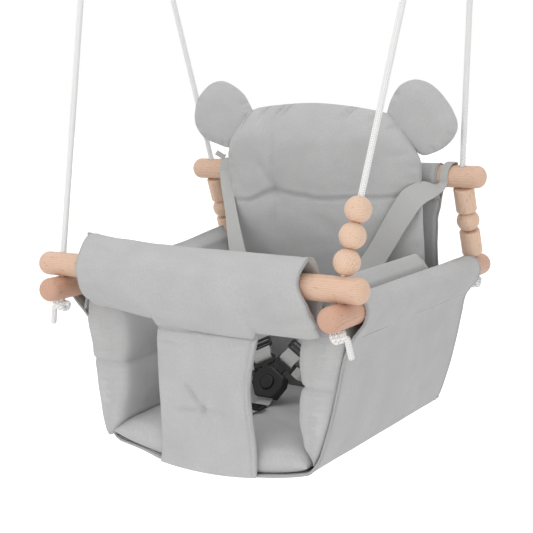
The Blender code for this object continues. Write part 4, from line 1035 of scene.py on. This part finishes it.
class SWING_OT_crotch_panel(bpy.types.Operator):
    """The padded strip from the guard down to the floor, with one tuft"""

    bl_idname = "swing.crotch_panel"
    bl_label = "Crotch panel"

    def execute(self, context):
        top, thickness, left, usual_right = -0.0620, 0.013, -0.0632, 0.078
        right = ((-0.245, 0.0775), (-0.226, 0.0762), (-0.139, 0.0702), (-0.064, 0.0806))
        tuft = (0.0031, -0.1666)
        folds = ((tuft, (-0.0213, -0.1347), 0.0028, 1.5), (tuft, (-0.042, -0.1704), 0.0024, 1.1),
                 (tuft, (0.0365, -0.1668), 0.0026, 0.8), (tuft, (0.012, -0.140), 0.0030, 0.6),
                 (tuft, (-0.006, -0.190), 0.0026, 0.8), (tuft, (0.016, -0.184), 0.0026, 0.6),
                 ((-0.060, -0.083), (-0.020, -0.088), 0.0030, 0.5),
                 ((0.078, -0.084), (0.040, -0.090), 0.0030, 0.4))

        def place(u, v, face):
            across = spread(left, usual_right, u)
            bottom = floor_height(across) - 0.0015
            z = spread(bottom, top, v)
            edge = smooth_table(z, right)
            x = spread(left, edge, u) + 0.0008 * waver((0, z, u), 0.03, 21)
            full = puff(u, 14, 0.5) * puff(v, 18, 0.5)
            half = thickness / 2 * full
            if face > 0:
                half -= 0.0050 * dimple(x, z, tuft, 0.0055) * full
                half -= 0.0031 * full * folds_at((x, z), folds)
                seam = z + 0.0700 - 0.0012 * waver((x, 0, 0), 0.02, 22)
                half += full * (0.0016 * dent(seam - 0.004, 0.0035) - 0.0030 * dent(seam, 0.0020))
                half -= full * 0.0022 * dent(edge - x - 0.0052, 0.0013)
                half += stuffing((x, z, 0), (0.0009, 0.030, 6), (0.0004, 0.010, 7)) * full
            centre = smooth_table(z, ((-0.252, -0.1862), (-0.226, -0.1790), (-0.090, -0.1840),
                                      (-0.060, -0.1805)))
            return Vector((x, centre - face * half, z))

        pad("padded_crotch_panel", "crotch_panel", (100, 132), (0.142, 0.193), place)
        return {"FINISHED"}


# Cushions

def back_middle_y(z):
    """Y of the back cushion's middle surface at a height."""
    rest = BACK_BAR.y - 0.01742 - GAP - BACK_THICKNESS / 2
    foot = SLING_BACK_Y - CLOTH - BACK_THICKNESS / 2 - 0.004
    return smooth_table(z, ((-0.200, foot), (0.050, rest), (0.140, rest), (BACK_TOP_Z, rest + 0.008)))


# The back cushion's upper edge from its left side to its right side, as (across, up)
BACK_EDGE = [(p.x, p.z) for p in smooth_line(
    [(x, 0, z) for x, z in ((-0.1470, 0.095), (-0.1468, 0.1207), (-0.1395, 0.1465), (-0.1240, 0.1690),
                            (-0.1128, 0.1838), (-0.1010, 0.1893), (-0.0760, 0.1930), (-0.0110, 0.1968),
                            (0.0518, 0.1919), (0.1031, 0.1833), (0.1150, 0.1770), (0.1378, 0.1500),
                            (0.1557, 0.1249), (0.1590, 0.1080), (0.1597, 0.0900))], 0.004)]


class SWING_OT_back_cushion(bpy.types.Operator):
    """The tall back pad with round upper corners, a channel across, one tuft and two round ears"""

    bl_idname = "swing.back_cushion"
    bl_label = "Back cushion"

    def execute(self, context):
        tuft = (-0.0572, 0.0735)
        folds = ((tuft, (-0.0657, 0.1900), 0.0034, 0.0030), (tuft, (-0.0579, 0.0150), 0.0032, 0.0030),
                 (tuft, (-0.0913, 0.1255), 0.0060, 0.0032), (tuft, (-0.104, 0.0560), 0.0050, 0.0016),
                 ((0.0936, 0.088), (0.0965, 0.046), 0.0050, 0.0018),
                 ((-0.0720, 0.188), (-0.0700, 0.120), 0.0060, 0.0028),
                 ((-0.015, 0.050), (0.060, 0.010), 0.0110, 0.0014),
                 ((-0.135, 0.110), (-0.110, 0.070), 0.0070, 0.0020),
                 ((0.168, 0.100), (0.124, 0.014), 0.0160, 0.0085),
                 ((0.150, 0.130), (0.120, 0.126), 0.0050, 0.0016))
        puckers = (-0.112, -0.0840, -0.0577, -0.046, 0.0465, 0.0545, 0.0895, 0.118)
        channel_line = ((-0.147, 0.0568), (-0.1043, 0.0582), (-0.0572, 0.0742), (-0.0118, 0.0684),
                        (0.0132, 0.0652), (0.0963, 0.0696), (0.1500, 0.0745))
        middle_x, half_width, bend = 0.0063, 0.1534, 0.06

        def place(u, v, face):
            x = middle_x + u * half_width
            edge = straight_table(x, BACK_EDGE)
            z = spread(BACK_BOTTOM_Z, BACK_TOP_Z, v)
            if z > bend:
                z = bend + (z - bend) * (edge - bend) / (BACK_TOP_Z - bend)
            pinch = 0.009 * dent(z - 0.060, 0.030) + 0.004 * (0.5 - v / 2) ** 2
            x -= (pinch if u < 0 else -0.4 * pinch) * -abs(u) ** 3
            if u > 0:
                # The lower right edge swells out past the strap
                swell = smooth_table(z, ((-0.05, 0.0), (0.02, 0.6), (0.055, 1.0), (0.088, 0.0)))
                x += 0.0048 * u ** 3 * swell
            full = puff(u, 6, 0.55) * puff(v, 9, 0.55)
            half = BACK_THICKNESS / 2 * full * (0.90 + 0.10 * (1 - u * u))
            if face < 0:
                under = z - smooth_table(x, channel_line)
                channel = 0.06 * dent(under + 0.005, 0.014) + 0.12 * dent(under, 0.0026)
                channel -= 0.04 * dent(under - 0.006, 0.004)
                half *= 1 - channel - 0.24 * dimple(x, z, tuft, 0.010)
                half -= folds_at((x, z), folds) * min(full * 2, 1)
                near_top = dent(edge - z - 0.004, 0.013)
                gathers = sum(dent(x - at + 0.6 * (edge - z - 0.01), 0.0024) for at in puckers)
                half -= 0.0056 * near_top * gathers
                near_side = dent(1 - abs(u), 0.10)
                half -= 0.0046 * near_side * max(waver((0, z, x * 0.2), 0.011, 8), 0)
                half += stuffing((x, z, 0), (0.0012, 0.050, 9), (0.0005, 0.014, 10)) * full
            return Vector((x, back_middle_y(z) + face * max(half, 0.0), z))

        size = (2 * half_width, BACK_TOP_Z - BACK_BOTTOM_Z)
        pad("padded_back_cushion", "back_cushion", (120, 168), size, place)
        self.ears()
        return {"FINISHED"}

    def ears(self):
        """Two flat rounded pads in the seam at the upper corners, each cut a little unevenly."""
        # Each outline's points from its middle, in millimetres
        outlines = {
            "left": ((51, 5), (36.5, 27.5), (18.7, 40.6), (-0.9, 47.6), (-21, 43.5), (-36.9, 31),
                     (-47.3, 15.6), (-51, -4.9), (-47.6, -20.4), (-33.8, -35.2), (-13.7, -43.2),
                     (12.4, -48.4), (42, -24)),
            "right": ((-52, 3), (-45.4, 22.6), (-32.7, 41), (-17.5, 48.1), (-5, 48.6), (9.9, 43.9),
                      (24.8, 32.5), (39.7, 14.4), (48.5, -2.5), (50.3, -13.8), (45.2, -26.3), (33.1, -39),
                      (18.4, -46.6), (1, -50.6), (-42, -24))}
        centres = {"left": (-0.160, 0.181), "right": (0.155, 0.178)}
        for name, side in SIDES:
            low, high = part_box(f"ear_{name}")
            across, up = centres[name]
            centre = Vector((across, (low.y + high.y) / 2 - SEAT.y, up))
            marks = [(x / 1000, z / 1000, 0) for x, z in outlines[name]]
            rim = sorted((atan2(p.y, p.x), p.length) for p in smooth_line([*marks, marks[0]], 0.002))
            rim = [(rim[-1][0] - 2 * pi, rim[-1][1]), *rim, (rim[0][0] + 2 * pi, rim[0][1])]

            def place(u, v, face):
                x = u * sqrt(1 - v * v / 2)
                z = v * sqrt(1 - u * u / 2)
                reach = min(sqrt(x * x + z * z), 1)
                turn = atan2(z, x)
                radius = smooth_table(turn, rim)
                half = 0.0092 * puff(reach, 3.4, 0.55)
                gather = max(waver((1.6 * cos(turn), 1.6 * sin(turn), side), 0.28, 11), 0)
                half -= 0.0042 * dent(reach - 0.90, 0.10) * gather
                half += 0.0009 * waver((x, z, 0), 0.5, 3) * (1 - reach)
                return centre + Vector((x * radius, face * max(half, 0.0), z * radius))

            pad(f"padded_ear_{name}", f"ear_{name}", (52, 52), (0.098, 0.098), place)


class SWING_OT_seat_cushion(bpy.types.Operator):
    """The pad on the bucket's floor"""

    bl_idname = "swing.seat_cushion"
    bl_label = "Seat cushion"

    def execute(self, context):
        half_width, rear = 0.142, 0.118

        def place(u, v, face):
            x = u * half_width
            front = -0.1750 + 0.0085 * ramp(-x, 0.050, 0.140)
            corner = dent(u + 1, 0.30) * dent(v + 1, 0.9)
            x -= 0.0105 * corner
            y = spread(front, rear, v)
            full = puff(u, 6, 0.52) * puff(v, 18, 0.52)
            low = floor_height(x) + CLOTH / 2 + GAP - 0.003 * corner
            thick = 0.030 + 0.015 * (1 - v ** 4) * (1 - u ** 4)
            seam = low + 0.3 * thick * (0.55 + 0.45 * (1 - u ** 6))
            if face < 0:
                flat = puff(u, 14, 0.5) * puff(v, 70, 0.5)
                return Vector((x, y, seam + (low - seam) * flat))
            rise = (low + thick - seam) * full
            rise -= 0.0080 * dimple(abs(x), y, (0.062, -0.03), 0.016) * full
            rise -= 0.0030 * crease((x, y), (0.020, -0.060), (0.085, -0.110), 0.007) * full
            rise -= 0.0020 * crease((x, y), (0.062, -0.030), (0.100, -0.075), 0.008) * full
            rise -= 0.0014 * dent(v + 0.955, 0.014) * full
            rise += stuffing((x, y, 0), (0.0014, 0.04, 12), (0.0005, 0.012, 14)) * full
            return Vector((x, y - 0.0016 * dent(full - 0.8, 0.12) * (1 if v < 0 else 0), seam + rise))

        pad("padded_seat_cushion", "seat_cushion", (72, 72), (2 * half_width, 0.285), place)
        return {"FINISHED"}


# How far out a side cushion reaches inside the bucket's side and its sleeve, as (height, across)
SIDE_ROOM = ((-0.223, 0.1478), (-0.214, 0.1512), (-0.196, 0.1580), (-0.165, 0.1675), (-0.127, 0.1765),
             (-0.086, 0.1852), (-0.066, 0.1885), (-0.052, 0.1862), (-0.0435, 0.1838), (-0.030, 0.1820),
             (-0.012, 0.1790), (0.002, 0.1700))


class SWING_OT_side_cushions(bpy.types.Operator):
    """The thick pads inside the bucket's sides, each with one channel"""

    bl_idname = "swing.side_cushions"
    bl_label = "Side cushions"

    def execute(self, context):
        inner = ((-0.220, 0.1430), (-0.196, 0.1280), (-0.165, 0.1215), (-0.100, 0.1215), (-0.045, 0.1285),
                 (-0.012, 0.1480), (0.002, 0.1640))
        rear, channel_z = 0.096, -0.127
        for name, side in SIDES:

            def place(u, v, face):
                z = spread(inner[0][0], inner[-1][0], v)
                front = SIDE_CUSHION_FRONT_Y - (0.0045 if side < 0 else 0.0015)
                # The left pad's upper rear corner stands up and reaches back beside the back cushion
                back = rear + 0.026 * ramp(v, 0.55, 1.0) * (side < 0)
                y = spread(front, back, u)
                belly = left_ease(side * 0.155, z) * (1 - u) / 2 if side < 0 else 0.0
                near = smooth_table(z, inner) + 0.9 * belly
                lip = 0.0040 * dent(y - front, 0.006) if side < 0 and z < -0.07 else 0.0
                thick = straight_table(z, SIDE_ROOM) - GAP + belly + lip - near
                centre = near + thick / 2
                above = z - channel_z
                groove = dent(above, 0.0030) * (0.35 + 0.65 * dent(u + 1, 0.35))
                ridge = dent(above - 0.006, 0.0050)
                if face > 0:
                    full = puff(u, 90, 0.5) * puff(v, 24, 0.5)
                    half = thick / 2 * full
                else:
                    full = puff(u, 26, 0.5) * puff(v, 20, 0.5)
                    dip = 0.16 * dent(above, 0.014) + 0.12 * groove + 0.06 * dent(u, 0.18)
                    half = thick / 2 * full * (1 - dip)
                    half += stuffing((y, z, 0), (0.0014, 0.035, 13), (0.0005, 0.012, 15)) * full
                at_front = dent(u + 1, 0.12)
                y += (0.0036 * groove - 0.0010 * ridge) * at_front
                seam = dent(centre + face * half - near - 0.38 * thick, 0.0035)
                y += (0.0012 * seam + 0.0010 * waver((centre + face * half, z, side), 0.02, 16)) * at_front
                rise = 0.016 * ramp(u, 0.0, 1.2) if side < 0 else -0.010 * ramp(u, 0.80, 1.0)
                drop = 0.0070 * dent(v + 1, 0.25) * (1 - u) / 2 if side < 0 else 0.0
                return Vector((side * (centre + face * half), y, z + rise * ((v + 1) / 2) ** 2 - drop))

            pad(f"padded_side_cushion_{name}", f"side_cushion_{name}", (72, 72), (0.263, 0.222), place)
        return {"FINISHED"}


# Harness

def strap_way(side):
    """Unit vector along a shoulder strap, from the buckle up to the back bar."""
    return (Vector((side * STRAP_FOOT.x, STRAP_FOOT.y, STRAP_FOOT.z)) - BUCKLE).normalized()


def strap_across(side):
    return strap_way(side).cross(BUCKLE_OUT).normalized()


def along_strap(side, distance, out=0.0):
    return BUCKLE + strap_way(side) * distance + BUCKLE_OUT * out


def ribbon(name, places, widths, node, body="seat", thickness=WEBBING):
    """Webbing: a strip along places, each with its half-width vector, smoothed between them."""
    line = smooth_line([(*p, *w) for p, w in zip(places, widths)], 0.003)
    rows = [[Vector(q[:3]) + Vector(q[3:]) * s for s in (-1, -0.94, -0.5, 0, 0.5, 0.94, 1)] for q in line]
    made = piece(name, cloth_mesh(name, rows), woven_webbing(), body=body, replaces=(node,))
    thicken(made, thickness)


class SWING_OT_straps(bpy.types.Operator):
    """The harness webbing: shoulder straps, their lower loops, waist straps, crotch strap and tape"""

    bl_idname = "swing.straps"
    bl_label = "Harness straps"

    def execute(self, context):
        for name, side in SIDES:
            self.shoulder(name, side)
            self.tongue_loop(name, side)
            self.waist(name, side)
        self.crotch()
        self.tape()
        return {"FINISHED"}

    def shoulder(self, name, side):
        ring = BAR_R + GAP + WEBBING / 2 + 0.0004
        at_bar, gathered = (0.1805, 0.0056) if side > 0 else (0.1668, 0.0108)
        along_bar = Vector((side * gathered, 0, 0))
        places, widths = [], []
        for angle in range(-60, 205 if side > 0 else 181, 12):
            a = radians(angle)
            slack = dent(angle - 75, 50) if side > 0 else 0.0
            reach = ring + 0.0025 * slack
            x = side * (at_bar + 0.0045 * slack)
            places.append(Vector((x, BACK_BAR.y + reach * cos(a), BACK_BAR.z + reach * sin(a))))
            widths.append(along_bar)
        full = (STRAP_FOOT - BUCKLE).length
        across = strap_across(side) * WEBBING_HALF
        if across.x * side < 0:
            across = -across
        if side > 0:
            # The gathered loop opens out and turns over as it leaves the bar
            places += [Vector((0.1765, 0.1290, 0.0850)), Vector((0.1675, 0.1150, 0.0835))]
            widths += [Vector((0.0060, 0.0015, -0.0030)), Vector((0.0088, 0.0045, -0.0098))]
            run = ((0.88, 0.021, 1.0), (0.78, 0.015, 0.9), (0.62, -0.002, 0.7), (0.44, -0.003, 0.45))
            aside = -0.001
        else:
            run = ((0.92, 0.009, 0.0), (0.80, 0.012, 0.0), (0.60, 0.015, 0.0), (0.42, 0.008, 0.0))
            aside = 0.009
        # Where it lies over the cushion, the right strap is wide open and turned to the front and left
        open_flat = Vector((0.0118, 0.0050, -0.0102))
        low = ((0.105 / full, 0.0, 0.0), (0.086 / full, -0.0052, 0.0), (0.052 / full, -0.0052, 0.0))
        for share, out, turned in (*run, *low):
            sideways = Vector((aside * ramp(share, 0.28, 1.0), 0, 0))
            places.append(along_strap(side, full * share, out) + sideways)
            wide = across * (1 + 0.11 * ramp(share, 0.30, 0.45))
            if side < 0:
                wide = wide * (1 - 0.34 * ramp(share, 0.45, 0.80))
            widths.append(wide.lerp(open_flat, turned))
        ribbon(f"shoulder_webbing_{name}", places, widths, f"shoulder_strap_{name}")

    def tongue_loop(self, name, side):
        ply = TONGUE_THICKNESS / 2 + GAP + WEBBING / 2
        end = TRIGLIDE_FROM_BUCKLE - TRIGLIDE_HEIGHT / 2 - GAP
        slot = TONGUE_HEAD_TO - 0.0062
        up = [(end, 0.0012), (end - 0.006, 0.0016), (TONGUE_HEAD_TO + 0.0005, ply), (slot + 0.0012, ply),
              (slot, ply * 0.55)]
        path = up + [(d, -n) for d, n in reversed(up)]
        places = [along_strap(side, d, n) for d, n in path]
        ribbon(f"loop_webbing_{name}", places, [strap_across(side) * WEBBING_HALF] * len(places),
               f"tongue_loop_{name}", body=f"latch_{name}")

    def waist(self, name, side):
        outward = strap_across(side) if strap_across(side).x * side > 0 else -strap_across(side)
        beside = along_strap(side, (TONGUE_HEAD_FROM + TONGUE_HEAD_TO) / 2)
        start = beside + outward * (TONGUE_HEAD_WIDTH / 2 + 2 * GAP)
        places = [start, start + outward * 0.012 + Vector((0, 0.002, 0)),
                  Vector((side * 0.080, 0.026, -0.172)), Vector((side * 0.1225, 0.052, -0.172))]
        upright = Vector((0, 0.25, 0.97)).normalized() * WEBBING_HALF
        edge = strap_way(side) * WEBBING_HALF * 0.5
        ribbon(f"waist_webbing_{name}", places, (edge, edge * 1.2, upright, upright), f"waist_strap_{name}")

    def crotch(self):
        half = Vector((WEBBING_HALF - 0.002, 0, 0))
        foot = BUCKLE - BUCKLE_UP * 0.0175
        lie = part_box("crotch_strap")[0].z - SEAT.z + 0.0014
        places = [foot, foot - BUCKLE_UP * 0.0035, Vector((0, foot.y - 0.009, lie + 0.0010)),
                  Vector((0, -0.054, lie + 0.0002)), Vector((0, -0.100, lie))]
        ribbon("crotch_webbing", places, [half] * len(places), "crotch_strap")

    def tape(self):
        low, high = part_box("strap_tape")
        low, high = low - SEAT, high - SEAT
        foot = Vector((high.x, BACK_BAR.y, low.z + 0.0008))
        tip = Vector((low.x, BACK_BAR.y - 0.0007, high.z - 0.001))
        bend = foot + Vector((-0.003, 0, 0))
        way = (tip - bend).normalized()
        # Its flat face looks out to the front and the right
        half = way.cross(Vector((-0.52, 0.84, -0.16))).normalized() * 0.0038
        places = [foot, bend, bend.lerp(tip, 0.5), tip + way * 0.002]
        ribbon("strap_tape_end", places, [half] * 4, "strap_tape", thickness=0.0012)


class SWING_OT_buckle(bpy.types.Operator):
    """The buckle, its button, the latch plates and the adjusters: the solids with rounded edges"""

    bl_idname = "swing.buckle"
    bl_label = "Buckle and adjusters"

    def execute(self, context):
        nodes = ["buckle_housing", "buckle_button", "crotch_slider"]
        nodes += [f"{kind}_{name}" for kind in ("tongue", "triglide") for name in ("left", "right")]
        for node in nodes:
            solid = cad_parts[node]
            solid.data.materials.clear()
            solid.data.materials.append(moulded_acetal())
            weld = solid.modifiers.new("weld", "WELD")
            weld.merge_threshold = 0.00001
            edge = solid.modifiers.new("edge", "BEVEL")
            edge.width = context.scene.swing_sizes.plastic_edge
            edge.segments = 2
            edge.limit_method = "ANGLE"
            edge.angle_limit = radians(40)
        return {"FINISHED"}


# Stage

class SWING_OT_stage(bpy.types.Operator):
    """Camera, soft studio light, white surroundings and a pale floor"""

    bl_idname = "swing.stage"
    bl_label = "Stage"

    def execute(self, context):
        self.camera(context)
        self.world(context)
        self.lamps(context)
        self.floor(context)
        context.scene.view_settings.view_transform = "Standard"
        return {"FINISHED"}

    def camera(self, context):
        data = bpy.data.cameras.new("camera")
        data.lens = CAMERA_LENS
        data.sensor_width = 36
        data.clip_start = 0.05
        data.clip_end = 60
        camera = bpy.data.objects.new("camera", data)
        context.scene.collection.objects.link(camera)
        level = Vector((cos(CAMERA_YAW), sin(CAMERA_YAW), 0))
        forward = Vector((-sin(CAMERA_YAW) * cos(CAMERA_PITCH), cos(CAMERA_YAW) * cos(CAMERA_PITCH),
                          sin(CAMERA_PITCH)))
        up = level.cross(forward)
        right = level * cos(CAMERA_ROLL) + up * sin(CAMERA_ROLL)
        up = up * cos(CAMERA_ROLL) - level * sin(CAMERA_ROLL)
        turn = Matrix((right, up, -forward)).transposed().to_4x4()
        camera.matrix_world = Matrix.Translation(CAMERA_AT) @ turn
        context.scene.camera = camera

    def world(self, context):
        """White to the camera, in gloss and through clear things; a soft sky for the light."""
        made = bpy.data.worlds.new("studio")
        made.use_nodes = True
        tree = made.node_tree
        tree.nodes.clear()
        path = add_node(tree, "LightPath")
        camera, glossy = path.outputs["Is Camera Ray"], path.outputs["Is Glossy Ray"]
        gloss = add_node(tree, "Math", {0: camera, 1: glossy}, operation="MAXIMUM")
        seen = add_node(tree, "Math", {0: gloss, 1: path.outputs["Is Transmission Ray"]},
                        operation="MAXIMUM")
        sky = add_node(tree, "Background", {"Color": (1, 1, 1, 1), "Strength": 0.84})
        white = add_node(tree, "Background", {"Color": (1, 1, 1, 1), "Strength": 1.0})
        mix = add_node(tree, "MixShader", {0: seen, 1: sky, 2: white})
        add_node(tree, "OutputWorld", {0: mix})
        context.scene.world = made

    def lamps(self, context):
        lamps = (("key", (-0.9, -2.7, 0.1), 2.2, 9.0), ("fill", (1.3, -2.3, -0.9), 1.6, 10.0),
                 ("top", (0.0, -0.3, 1.9), 2.2, 14.0))
        aim = Vector((0, 0, -0.85))
        for name, at, size, power in lamps:
            data = bpy.data.lights.new(name, "AREA")
            data.size = size
            data.energy = power
            lamp = bpy.data.objects.new(name, data)
            context.scene.collection.objects.link(lamp)
            lamp.location = at
            lamp.rotation_mode = "QUATERNION"
            lamp.rotation_quaternion = (aim - Vector(at)).to_track_quat("-Z", "Y")

    def floor(self, context):
        bm = bmesh.new()
        bmesh.ops.create_grid(bm, x_segments=1, y_segments=1, size=15)
        made = bpy.data.objects.new("studio_floor", finish_mesh(bm, "studio_floor", smooth=False))
        context.scene.collection.objects.link(made)
        made.location.z = CAD_BOX[0].z - context.scene.swing_sizes.floor_drop
        finish, tree, shader = start_finish("matt_white_floor", linear("F4F4F4"), 0.9)
        path = add_node(tree, "LightPath")
        camera, glossy = path.outputs["Is Camera Ray"], path.outputs["Is Glossy Ray"]
        seen = add_node(tree, "Math", {0: camera, 1: glossy}, operation="MAXIMUM")
        shader.inputs["Emission Color"].default_value = (1, 1, 1, 1)
        add_node(tree, "Math", {0: seen, 1: 0.45}, to=shader.inputs["Emission Strength"],
                 operation="MULTIPLY")
        made.data.materials.append(finish)


class SWING_PT_panel(bpy.types.Panel):
    """Lists the swing seat's pieces, sizes and colours in the sidebar"""

    bl_idname = "SWING_PT_panel"
    bl_label = "Baby swing seat"
    bl_space_type = "VIEW_3D"
    bl_region_type = "UI"
    bl_category = "Swing seat"

    def draw(self, context):
        layout = self.layout
        for operator in OPERATORS:
            layout.operator(operator.bl_idname)
        for group in (context.scene.swing_sizes, context.scene.swing_colours):
            box = layout.box()
            for name in group.bl_rna.properties.keys():
                if name not in ("rna_type", "name"):
                    box.prop(group, name)


OPERATORS = (SWING_OT_stage, SWING_OT_ropes, SWING_OT_rings, SWING_OT_bars, SWING_OT_beads, SWING_OT_bucket,
             SWING_OT_guard, SWING_OT_crotch_panel, SWING_OT_back_cushion, SWING_OT_seat_cushion,
             SWING_OT_side_cushions, SWING_OT_straps, SWING_OT_buckle)
CLASSES = (SwingColours, SwingSizes, *OPERATORS, SWING_PT_panel)


def register():
    for kind in CLASSES:
        bpy.utils.register_class(kind)
    bpy.types.Scene.swing_colours = bpy.props.PointerProperty(type=SwingColours)
    bpy.types.Scene.swing_sizes = bpy.props.PointerProperty(type=SwingSizes)


def unregister():
    del bpy.types.Scene.swing_sizes
    del bpy.types.Scene.swing_colours
    for kind in reversed(CLASSES):
        bpy.utils.unregister_class(kind)


def main():
    register()
    bpy.ops.swing.stage()
    bpy.ops.swing.ropes()
    bpy.ops.swing.rings()
    bpy.ops.swing.bars()
    bpy.ops.swing.beads()
    bpy.ops.swing.bucket()
    bpy.ops.swing.guard()
    bpy.ops.swing.crotch_panel()
    bpy.ops.swing.back_cushion()
    bpy.ops.swing.seat_cushion()
    bpy.ops.swing.side_cushions()
    bpy.ops.swing.straps()
    bpy.ops.swing.buckle()
    bpy.context.view_layer.update()


if __name__ == "__main__":
    main()
